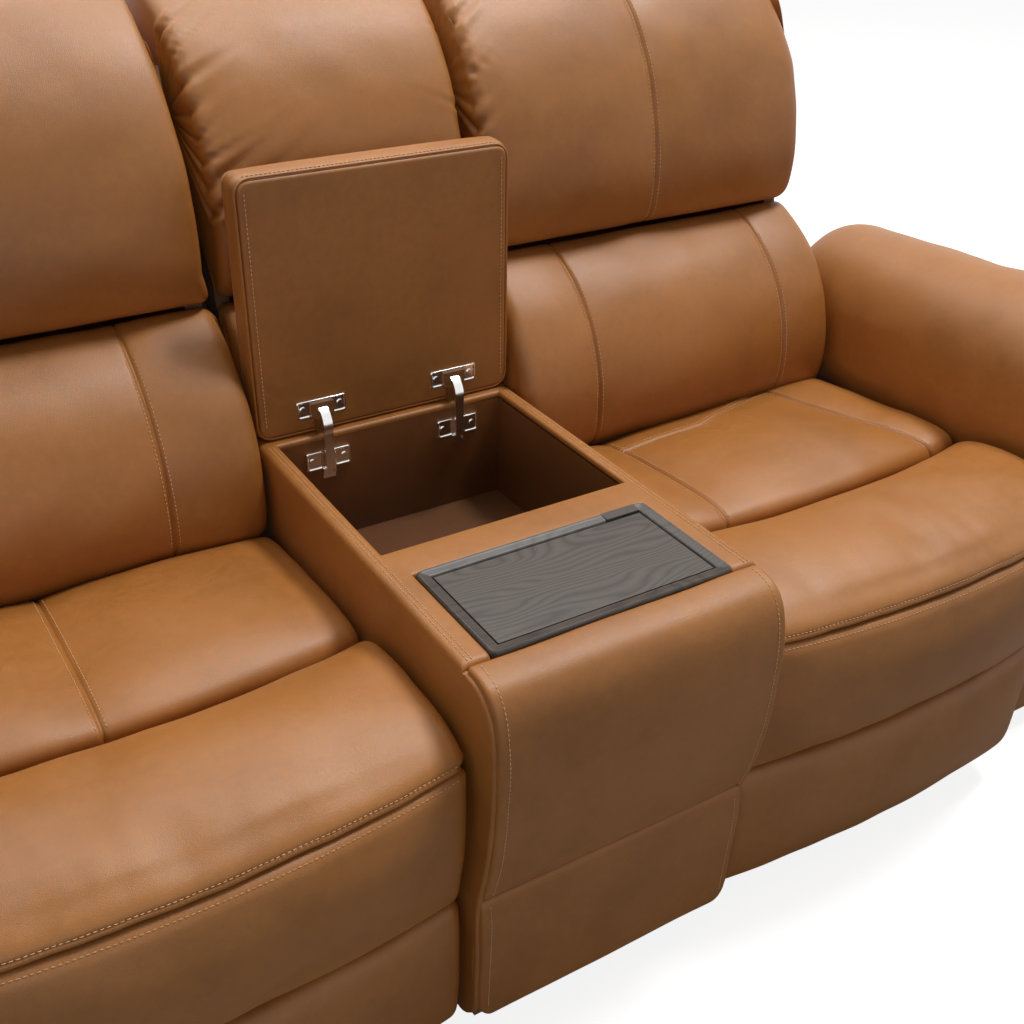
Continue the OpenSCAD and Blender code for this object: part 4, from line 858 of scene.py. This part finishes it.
def headrest(name, side):
    edge, far_edge = HEAD_EDGES[::side]
    pad = seat_pad(name, side, "headrest", name + "_back", back_points(HEAD_OUTLINE), (0, -1, 0.5), edge=edge,
                   far_edge=far_edge, ring_step=8, seams=[side * HEAD_SEAM], bulge=8, fill=0.85)
    pad.crown(5, 2.4, pad.facing((0, -1, 0.5)))
    inner, outer = (pad.low, pad.high)[::side]
    draw_in(pad, inner, 90, 12 if side < 0 else 5, 690, 740)
    if side < 0:
        draw_in(pad, inner, 90, 10, 850, 1020)
    draw_in(pad, outer, 120, 22, 900, 1050)
    if side > 0:
        pad.pleats(inner, 34, 6.5, HEAD_PLEATS, 1.3)
    return pad


def footrest_pads(name, side):
    """Makes both pads of a footrest and gives the upper one."""
    low, high = span(side, SEAT_X0, FOOTREST_X1)
    made = []
    for part, outline in (("upper", UPPER_OUTLINE), ("lower", LOWER_OUTLINE)):
        pad = add(Pad(f"{name}_footrest_{part}_leather", (f"{name}_footrest_{part}_pad",), name + "_footrest",
                      outline, low, high, edge=15, fill=0.7), (0, -1, 0))
        bow(pad)
        pad.crown(2.5, 2.4, pad.facing((0, -1, 0)))
        if part == "lower":
            round_corner(pad, high if side > 0 else low, FOOTREST_CORNER, FOOTREST_LOW_Z)
        made.append(pad)
    return made[0]


def stitch_seat(cushion, ends, roll, lum, head, upper):
    """Stitches one seat's seams, the cushion's between ends, and lays the welt under its front roll."""
    base = thread("base")
    for mark in cushion.seams:
        base.beside(base.along_s, cushion, mark, *ends)
    for mark in cushion.ring_marks:
        base.beside(base.along_x, cushion, mark, *cushion.seams)
    base.along_x(roll, roll.arc_of(ROLL_STITCH), roll.low + 8, roll.high - 8)
    welt_line = roll.at(np.arange(roll.low + 6, roll.high - 5, 8.0), roll.arc_of(WELT_AT))[0] + WELT_SHIFT
    tube(roll.name.replace("leather", "welt"), welt_line, WELT_RADIUS, "base")
    thread(upper.body).along_x(upper, upper.arc_of(UPPER_STITCH), upper.low + 8, upper.high - 8)
    for pad, heights in ((lum, LUMBAR_STITCHES), (head, HEAD_STITCHES)):
        one, (a, b) = thread(pad.body), (pad.front_arc(z) for z in heights)
        for mark in pad.seams:
            one.beside(one.along_s, pad, mark, a, b)


seat_pieces = [[make(name, side) for make in (seat_cushion, bolster, lumbar, headrest, footrest_pads)]
               for name, side in SIDES]

# Centre back

CENTER_X = 173.0
STRIP_OUTLINE = [(25, 130, 0), (-6, 131, 10), (-18, 146, 20), (-22, 200, 40), (-18, 250, 30), (-4, 270, 14),
                 (25, 273, 0)]
CENTER_OUTLINE = [(25, 279, 0), (8, 279, 12), (-12, 294, 22), (-34, 350, 40), (-41, 410, 60), (-36, 480, 60),
                  (-18, 546, 60), (14, 602, 70), (66, 646, 70), (122, 664, 60), (172, 646, 44),
                  (196, 608, 26), (199, 582, 8), (186, 574.5, 0), (25, 574.5, 0)]
PLEAT_HEIGHTS = (806, 838, 866, 893, 922, 950, 978, 1004)
add(Pad("center_lower_leather", ("center_lower_pad",), "base", back_points(STRIP_OUTLINE),
        -CENTER_X, CENTER_X, edge=16, fill=0.75), (0, -1, 0.2))
pillow = add(Pad("center_headrest_leather", ("center_headrest",), "base", back_points(CENTER_OUTLINE),
                 -CENTER_X, CENTER_X, edge=15, ring_step=6, step=7, bulge=8, fill=0.85), (0, -1, 0.5))
pillow.crown(6, 2.4, pillow.facing((0, -1, 0.5)))
pillow.pleats(-CENTER_X, 38, 6.5, PLEAT_HEIGHTS, 0.4)
pillow.pleats(CENTER_X, 20, 3.0, PLEAT_HEIGHTS[::3], 2.1)
draw_in(pillow, -CENTER_X, 60, -9, 880, 1000)

# Backs' leather shells, seen from behind

LOW_W, TOP_W, REAR_U, WALL_T, TOP_ROUND = -210.0, 573.0, 274.0, 9.0, 40.0
SHELL_SLANT = 80.0
SEAT_SHELL_U, CENTER_SHELL_U = 45, 70


def panel(name, nodes, body, points, low, high, edge, ring_step, bulge, step=3, axis="x"):
    """A firm leather-covered panel, left out of the cloth run."""
    return add(Pad(name, nodes, body, points, low, high, edge=edge, step=step, ring_step=ring_step,
                   bulge=bulge, smooth=0, fill=0.9, axis=axis))


def shell(name, body, x0, x1, u0):
    """A rear wall that turns over the top, and a panel at each side."""
    top_u, inner_u, inner_w = u0 + SHELL_SLANT, REAR_U - WALL_T, TOP_W - WALL_T
    wall = back_points([(top_u, TOP_W, 0), (REAR_U, TOP_W, TOP_ROUND), (REAR_U, LOW_W, 0),
                        (inner_u, LOW_W, 0), (inner_u, inner_w, TOP_ROUND - WALL_T), (top_u, inner_w, 0)])
    side = back_points([(u0, LOW_W, 4), (u0, 0.5 * TOP_W, 40), (top_u, TOP_W - 1, 30),
                        (REAR_U - 1, TOP_W - 1, TOP_ROUND), (REAR_U - 1, LOW_W, 4)])
    rear = add(Pad(name + "_leather", (name,), body, wall, x0, x1, edge=3, step=16, ring_step=5,
                   seams=[0.5 * (x0 + x1)], ring_seams=[on_back(REAR_U, 0.5 * TOP_W)], bulge=0, fill=0.9))
    for part, a, b in (("low", x0, x0 + WALL_T), ("high", x1 - WALL_T, x1)):
        panel(f"{name}_{part}_side", (), body, side, a, b, 3, 12, 0.5)
    return rear


shells = [shell(name + "_back_shell", name + "_back", *span(side, SEAT_X0 + PAD_SIDE, SEAT_X1 - PAD_SIDE),
                SEAT_SHELL_U) for name, side in SIDES]
shells.append(shell("center_back_shell", "base", PAD_SIDE - CENTER_X, CENTER_X - PAD_SIDE, CENTER_SHELL_U))

# Arms

ARM_Y0, ARM_Y1 = node_box("right_arm_pad")[0][1], node_box("right_arm_pad")[1][1]
PANEL_LOW, PANEL_HIGH = node_box("arm_outer_panels")
ARM_FRAME_Z = 500.0
ARM_FRAME_X0 = 776.0
ARM_REAR_X = (766, 952)
ARM_TOP_Z = 675
CORNER = 8
ARM_OUTLINE = [(776, 407, 0), (762, 428, 16), (750, 500, 60), (756, 580, 60), (794, 645, 70), (862, 680, 70),
               (930, 662, 60), (976, 608, 50), (988, 540, 30), (980, 503, 8), (951, 501, 0), (776, 501, 0)]
ARM_REAR_DROP = 36.0
PANEL_EDGE = 4.0


def mirrored(points, side):
    return [(side * a, b, r) for a, b, r in points]


def rectangle(a0, a1, b0, b1, reach):
    return [(a0, b0, reach), (a1, b0, reach), (a1, b1, reach), (a0, b1, reach)]


for name, side in SIDES:
    arm = add(Pad(name + "_arm_leather", (name + "_arm_pad",), "base", mirrored(ARM_OUTLINE, side),
                  ARM_Y0, ARM_Y1, edge=34, far_edge=60, step=10, ring_step=8, axis="y", bulge=9, fill=0.85),
              (-0.3 * side, 0, 1))
    y, z = arm.grid[..., 1], arm.grid[..., 2]
    arm.grid[..., 2] -= ARM_REAR_DROP * share_of(ARM_Y0, ARM_Y1, y) * share_of(ARM_FRAME_Z, ARM_TOP_Z, z)
    panel(name + "_arm_outer_leather", ("arm_outer_panels",), "base",
          rectangle(PANEL_LOW[1] - 10, PANEL_HIGH[1], PANEL_LOW[2], ARM_FRAME_Z, CORNER),
          *span(side, PANEL_HIGH[0] - 10, PANEL_HIGH[0] + 1), PANEL_EDGE, 10, 1.5)
    panel(name + "_arm_front_leather", ("arm_front_panels",), "base",
          mirrored(rectangle(ARM_FRAME_X0, PANEL_HIGH[0] - 1, PANEL_LOW[2], ARM_FRAME_Z, CORNER), side),
          PANEL_LOW[1] - 12, PANEL_LOW[1], PANEL_EDGE, 10, 3, axis="y")
    panel(name + "_arm_rear_leather", (), "base",
          mirrored(rectangle(*ARM_REAR_X, PANEL_LOW[2], PANEL_HIGH[2], CORNER), side),
          ARM_Y1, PANEL_HIGH[1], 6, 10, 1.5, step=12, axis="y")

# Console

CONSOLE_X = 180.0
COVER_X = 176.0
KICK_CORNER, KICK_LOW_Z = 36, 48
TRAY_FRONT_Y, TRAY_REAR_Y = TRAY_LOW[1], TRAY_HIGH[1]
RIM_Z = 540.5
TOP_LOW_Z, TOP_Y = 532, (-441, 124)
TOP_ROUND_R, HOLE_ROUND_R = 8, 4
BIN_WALL = 2.0
SLAB_STEP, SLAB_ANGLE = 12.0, math.radians(50)
NOSE_OUTLINE = [(-442.5, 540.5, 0), (-460, 541.5, 14), (-486, 534, 16), (-500, 508, 16), (-505, 470, 30),
                (-504, 418, 40), (-496, 332, 60), (-477, 262, 20), (-469, 247.8, 2), (-443, 248, 0)]
KICK_OUTLINE = [(-443, 247.4, 0), (-468.5, 247.4, 2), (-472, 230, 20), (-472, 176, 40), (-467, 110, 30),
                (-464, 50, 8), (-443, 48, 0)]
SIDE_OUTLINE = [(124, 533, 3), (124, 38, 6), (-434, 38, 14), (-461, 68, 16), (-466, 176, 40), (-466, 240, 20),
                (-491, 332, 60), (-499, 418, 40), (-500, 470, 30), (-494, 503, 14), (-481, 524, 14),
                (-462, 533, 8)]
cover = add(Pad("console_front_leather", ("console_front_cover",), "base", NOSE_OUTLINE, -COVER_X, COVER_X,
                edge=5, step=12, ring_step=6, fill=0.9), (0, -1, 0.2), pressure=1.0, growth=0.0)
kick = add(Pad("console_kick_leather", ("console_kick_panel",), "base", KICK_OUTLINE, -COVER_X, COVER_X,
               edge=5, step=12, ring_step=6, fill=0.9))
for end in (-COVER_X, COVER_X):
    round_corner(kick, end, KICK_CORNER, KICK_LOW_Z)
for name, side in SIDES:
    panel(f"console_{name}_side_leather", ("console_side_panels",), "base", SIDE_OUTLINE,
          *span(side, COVER_X - 4, CONSOLE_X), 3.4, 8, 0.5)


def sink(distance, r):
    """How far an edge rounded by r drops at a distance from it."""
    d = np.clip(distance, 0, r)
    return r - np.sqrt(r * r - (r - d) ** 2)


def slab_lines(low, high, outer_round, hole_spans, hole_round):
    """Grid lines across a slab, close together where its edges and its holes' edges are rounded."""
    marks = [(low, outer_round), (high, -outer_round)]
    for a, b in hole_spans:
        marks += [(a, -hole_round), (b, hole_round)]
    fixed = [m + r * (1 - math.cos(t)) for m, r in marks for t in np.linspace(0, math.pi / 2, 6)]
    return thin_out(np.arange(low + SLAB_STEP, high - outer_round, SLAB_STEP), fixed, SLAB_STEP / 2)


def holed_slab(name, outer, holes, low, high, outer_round, hole_round, replaced):
    """A leather-covered slab with openings. Its edges, and those of the openings, are rounded over."""
    x, y = np.meshgrid(*(slab_lines(outer[k], outer[k + 1], outer_round, [hole[k:k + 2] for hole in holes],
                                    hole_round) for k in (0, 2)), indexing="ij")
    from_edge = np.minimum(np.minimum(x - outer[0], outer[1] - x), np.minimum(y - outer[2], outer[3] - y))
    z = high - sink(from_edge, outer_round)
    cx, cy = (x[:-1, :-1] + x[1:, 1:]) / 2, (y[:-1, :-1] + y[1:, 1:]) / 2
    solid = np.ones(cx.shape, bool)
    for a0, a1, b0, b1 in holes:
        out = np.hypot(np.maximum(np.maximum(a0 - x, x - a1), 0), np.maximum(np.maximum(b0 - y, y - b1), 0))
        z = z - sink(out, hole_round)
        solid &= ~((cx > a0) & (cx < a1) & (cy > b0) & (cy < b1))
    idx = numbered(*x.shape)
    top = np.stack([idx[:-1, :-1], idx[1:, :-1], idx[1:, 1:], idx[:-1, 1:]], -1)[solid]
    under = top[:, ::-1] + x.size
    edges = [edge for face in top.tolist() for edge in zip(face, face[1:] + face[:1])]
    shared = set(edges)
    walls = [[b, a, a + x.size, b + x.size] for a, b in edges if (b, a) not in shared]
    flat = np.stack([x, y, z], -1).reshape(-1, 3)
    floor = flat.copy()
    floor[:, 2] = low
    used = np.unique(np.concatenate([top.ravel(), under.ravel()]))
    renumber = np.full(2 * x.size, -1)
    renumber[used] = np.arange(len(used))
    faces = [renumber[f].tolist() for f in top.tolist() + under.tolist() + walls]
    obj = mesh_object(name, np.vstack([flat, floor])[used] * MM, faces, LEATHER)
    obj.data.set_sharp_from_angle(angle=SLAB_ANGLE)
    finish_piece(obj, "base", replaced)


bin_hole = (BIN_LOW[0] + BIN_WALL, BIN_HIGH[0] - BIN_WALL, BIN_LOW[1] + BIN_WALL, BIN_HIGH[1] - BIN_WALL)
tray_hole = (TRAY_LOW[0], TRAY_HIGH[0], TRAY_FRONT_Y + 2.5, TRAY_REAR_Y)
holed_slab("console_top_leather", (-CONSOLE_X, CONSOLE_X, *TOP_Y), [tray_hole, bin_hole], TOP_LOW_Z, RIM_Z,
           TOP_ROUND_R, HOLE_ROUND_R, ("console_top_cover",))

# Tray

TRAY_PROFILE = [(0, 528), (0, 540.6), (0.5, 542.2), (1.6, 543.2), (3.0, 543.3), (4.2, 542.7), (5.0, 542.2),
                (11.4, 541.9), (12.6, 541.2), (13.4, 540.2), (14.0, 538.5), (14.0, 528)]
TRAY_CORNER = 9.0
BLOCK_FIT = 0.4
block_room = ((BLOCK_LOW[0] - BLOCK_FIT, BLOCK_LOW[1] - 1, BLOCK_LOW[2]),
              (BLOCK_HIGH[0] + BLOCK_FIT, BLOCK_HIGH[1] + 1, BLOCK_HIGH[2] + 2))
moulding("tray_rim", (TRAY_LOW[0], TRAY_HIGH[0], TRAY_FRONT_Y, TRAY_REAR_Y), TRAY_CORNER, TRAY_PROFILE,
         lambda a, b, h: (a, b, h), WALNUT_RIM, "base", ("tray_frame",), [[block_room]])

# Lid

LID_EDGE = 15.0
LINER_INSET, LINER_CORNER = 4.5, 15
LINER_SEAM = 8.0
LINER_Y = LID_LOW[1] - 0.4
WELT_INSET, LID_WELT_RADIUS = 2.4, 1.7
CUP_HALF, CUP_Z0, CUP_Z1, CUP_Y1 = 15.2, 561.3, 582.2, 111.2
SLOT_HALF, SLOT_Z0 = 9.2, 541.8
cups = [[((x - half, LID_LOW[1] - 6, low), (x + half, CUP_Y1, high)) for x in (-HINGE_X, HINGE_X)]
        for half, low, high in ((CUP_HALF, CUP_Z0, CUP_Z1), (SLOT_HALF, SLOT_Z0 - 2, CUP_Z0 + 1))]


def lid_frame(inset):
    """The lid's rectangle drawn in on all sides, as x0, x1, z0, z1."""
    return LID_LOW[0] + inset, LID_HIGH[0] - inset, LID_LOW[2] + inset, LID_HIGH[2] - inset


lid_cover = Pad("lid_leather", ("lid_cover",), "lid",
                rectangle(LID_LOW[1] + 0.5, LID_HIGH[1], LID_LOW[2], LID_HIGH[2], LID_EDGE),
                LID_LOW[0], LID_HIGH[0], edge=LID_EDGE, step=10, ring_step=5,
                ring_seams=[(LID_HIGH[1] - 10, LID_HIGH[2])], bulge=0.5, fill=0.9)
lid_cover.crown(2.0, 4, lid_cover.facing((0, 1, 0)))
lid_cover.grooves(1.6, 2.2, 0.6)
lid_liner = Pad("lid_lining_leather", ("lid_liner",), "lid", rectangle(*lid_frame(LINER_INSET), LINER_CORNER),
                LINER_Y, LINER_Y + 9, edge=4.4, step=3, ring_step=6, axis="y", bulge=2.2, smooth=0, fill=0.9)
lid_cover.build(1, cups)
lid_liner.build(1, cups)
lid_thread = thread("lid")
heights = np.arange(LID_LOW[2] + 20, LID_HIGH[2] - 16, LINE_STEP)
for x in lid_frame(LINER_INSET + LINER_SEAM)[:2]:
    lid_thread.flat_row([(x, LINER_Y - 0.1, z) for z in heights], (0, -1, 0))
lid_thread.along_x(lid_cover, lid_cover.arc_of((LID_LOW[1] + 9, LID_HIGH[2])), *lid_frame(14)[:2])
tube("lid_welt", [(a, LID_LOW[1] + 3.2, b) for a, b in rounded_loop(*lid_frame(WELT_INSET), LID_EDGE + 4)],
     LID_WELT_RADIUS, "lid", closed=True)

# Hinge plates' raised rims

RIM_PROFILE = [(0, -0.5), (0, 0.9), (0.5, 1.5), (1.6, 1.5), (2.3, 0.9), (2.5, -0.5)]
RIM_CORNER = 4
PLATE_Z = (563.5, 586.5)
PLATE_HALF = 33.0
PLATE_Y, WALL_Y = 71.0, 60.0
WING = (7.5, 30.0, 494.0, 519.0)
for name, side in SIDES:
    x = side * HINGE_X
    moulding(f"lid_plate_rim_{name}", (x - PLATE_HALF, x + PLATE_HALF, *PLATE_Z), RIM_CORNER, RIM_PROFILE,
             lambda a, b, h: (a, PLATE_Y - h, b), PLATED, "lid", (),
             [[((x - SLOT_HALF, 60, 560), (x + SLOT_HALF, 75, 568))]])
    for part, wing in SIDES:
        x0, x1 = span(wing, *WING[:2])
        moulding(f"wall_plate_rim_{name}_{part}", (x + x0, x + x1, *WING[2:]), RIM_CORNER, RIM_PROFILE,
                 lambda a, b, h: (a, WALL_Y - h, b), PLATED, "base")

# Cloth run, seams and stitches

ARM_INNER_X, LUMBAR_X = 754.0, 747.0
CONSOLE_SEAM = 11
COVER_ENDS, KICK_ENDS = ((-449, 541.5), (-476, 256)), ((-473, 240), (-466, 76))
TOP_SEAMS = (8.5, 13.5)
seam_ends = [[cushion.arc_of(p) for p in SEAM_ENDS] for cushion, *_ in seat_pieces]
run_simulations()
for pad in pads:
    side = -1 if pad.name.startswith("left") else 1
    if pad.name.endswith("_arm_leather"):
        press_side(pad, side, ARM_INNER_X, math.inf, -110, -50)
    if pad.name.endswith("_lumbar_leather"):
        press_side(pad, side, -math.inf, LUMBAR_X, -200, -100)
for k, pad in enumerate(pads):
    if pad.nodes and pad.ends[0] > PANEL_EDGE:
        pad.wrinkle(1.2, 70, 3.7 * k, (1, 1.4, 1.4))
    pad.grooves()
    pad.build(0 if pad.ends[0] < PANEL_EDGE else 1)
for (cushion, *others), ends in zip(seat_pieces, seam_ends):
    stitch_seat(cushion, ends, *others)
for rear in shells:
    one = thread(rear.body)
    one.beside(one.along_x, rear, rear.ring_marks[0], rear.low + 6, rear.high - 6)
base = thread("base")
for x in (CONSOLE_SEAM - COVER_X, COVER_X - CONSOLE_SEAM):
    for pad, ends in ((cover, COVER_ENDS), (kick, KICK_ENDS)):
        base.along_s(pad, x, *(pad.arc_of(p) for p in ends))
for side in (-1, 1):
    for inset in TOP_SEAMS:
        base.flat_row([(side * (CONSOLE_X - inset), y, RIM_Z)
                       for y in np.arange(TRAY_FRONT_Y + 6, 60, LINE_STEP)], (0, 0, 1))
for one in threads.values():
    one.build()

# CAD nodes that stay

FINISH = {"leather": LEATHER, "lining": LINING, "plywood": PLYWOOD_DARKENED_AS_SHADE, "walnut": WALNUT, "plated": PLATED,
          "steel": STEEL, "black": BLACK}
slots = {part["node"]: part["material_slot"] for part in frame["record"]["subparts"]}
for node, obj in frame["nodes"].items():
    obj.data.materials.clear()
    # The bin liner takes the darker copy of the lining, painted shade.
    obj.data.materials.append(SHADED_BIN_LINING if node == "bin_liner" else FINISH[slots[node]])

# Floor and background

FLOOR_HALF = 9.0
FLOOR_PALE, FLOOR_GLOW = 0.45, 0.85
floor_mesh = bpy.data.meshes.new("floor")
corners = [(a * FLOOR_HALF, b * FLOOR_HALF, 0) for a, b in ((-1, -1), (1, -1), (1, 1), (-1, 1))]
floor_mesh.from_pydata(corners, [], [(0, 1, 2, 3)])
floor = bpy.data.objects.new("floor", floor_mesh)
scene.collection.objects.link(floor)
floor_material, tree, shader = new_material("floor", _Roughness=0.9)
specks = noise_node(tree, stretched(tree), 30, 3)
tone = ramp(tree, specks, "Fac", [(0.0, grey(0.24)), (1.0, grey(0.27))])
paint(tree, shader, tone)
pale = add_node(tree, "BsdfDiffuse", _Color=(*grey(FLOOR_PALE), 1))
glow = add_node(tree, "Emission", _Color=(1, 1, 1, 1), _Strength=FLOOR_GLOW)
shown = add_node(tree, "AddShader", [(pale, 0, 0), (glow, 0, 1)])
rays = add_node(tree, "LightPath")
mixed = add_node(tree, "MixShader", [(rays, "Is Camera Ray", 0), (shader, 0, 1), (shown, 0, 2)])
out = next(n for n in tree.nodes if n.bl_idname == "ShaderNodeOutputMaterial")
tree.links.new(mixed.outputs[0], out.inputs["Surface"])
floor_mesh.materials.append(floor_material)

WORLD_LIGHT = 0.17
world = bpy.data.worlds.new("world")
scene.world = world
world.use_nodes = True
tree = world.node_tree
background = tree.nodes["Background"]
background.inputs["Color"].default_value = (1, 1, 1, 1)
strength = add_node(tree, "MapRange", [(background_rays(tree), 0, "Value")],
                    _To_Min=WORLD_LIGHT, _To_Max=1.0)
tree.links.new(strength.outputs[0], background.inputs["Strength"])

# Lamps and camera

CAMERA_LENS, SENSOR = 43.39, 36
CAMERA_PLACE = (-624.828, -1246.121, 1249.047)
CAMERA_ANGLES = (-31.708, 30.493, 0.784)


def area_light(name, place, target, size, power, color=(1, 1, 1)):
    data = bpy.data.lights.new(name, "AREA")
    data.shape, data.size, data.energy, data.color = "DISK", size, power, color
    obj = bpy.data.objects.new(name, data)
    obj.location = place
    obj.rotation_euler = (Vector(target) - Vector(place)).to_track_quat("-Z", "Y").to_euler()
    scene.collection.objects.link(obj)


area_light("key", (2.4, -0.3, 5.8), (0, 0, 0.5), 1.3, 205, (1, 0.985, 0.96))
area_light("top", (0, 1.1, 3.3), (0, -0.1, 0.5), 3.0, 50, (1, 0.99, 0.98))
area_light("front", (-1.2, -3.4, 0.8), (0, -0.5, 0.3), 2.0, 11)
area_light("left", (-2.2, 0.9, 3.0), (0.6, -0.1, 0.6), 1.4, 4, (0.97, 0.985, 1))

camera_data = bpy.data.cameras.new("camera")
camera_data.lens, camera_data.sensor_width = CAMERA_LENS, SENSOR
camera = bpy.data.objects.new("camera", camera_data)
azimuth, elevation, roll_angle = (math.radians(v) for v in CAMERA_ANGLES)
level = math.cos(elevation)
back = Vector((math.sin(azimuth) * level, -math.cos(azimuth) * level, math.sin(elevation)))
flat = Vector((math.cos(azimuth), math.sin(azimuth), 0))
up = back.cross(flat)
right = flat * math.cos(roll_angle) + up * math.sin(roll_angle)
up = up * math.cos(roll_angle) - flat * math.sin(roll_angle)
turn = Matrix((right, up, back)).transposed()
camera.matrix_world = Matrix.Translation(Vector(CAMERA_PLACE) * MM) @ turn.to_4x4()
scene.collection.objects.link(camera)
scene.camera = camera
scene.view_settings.view_transform = "Standard"
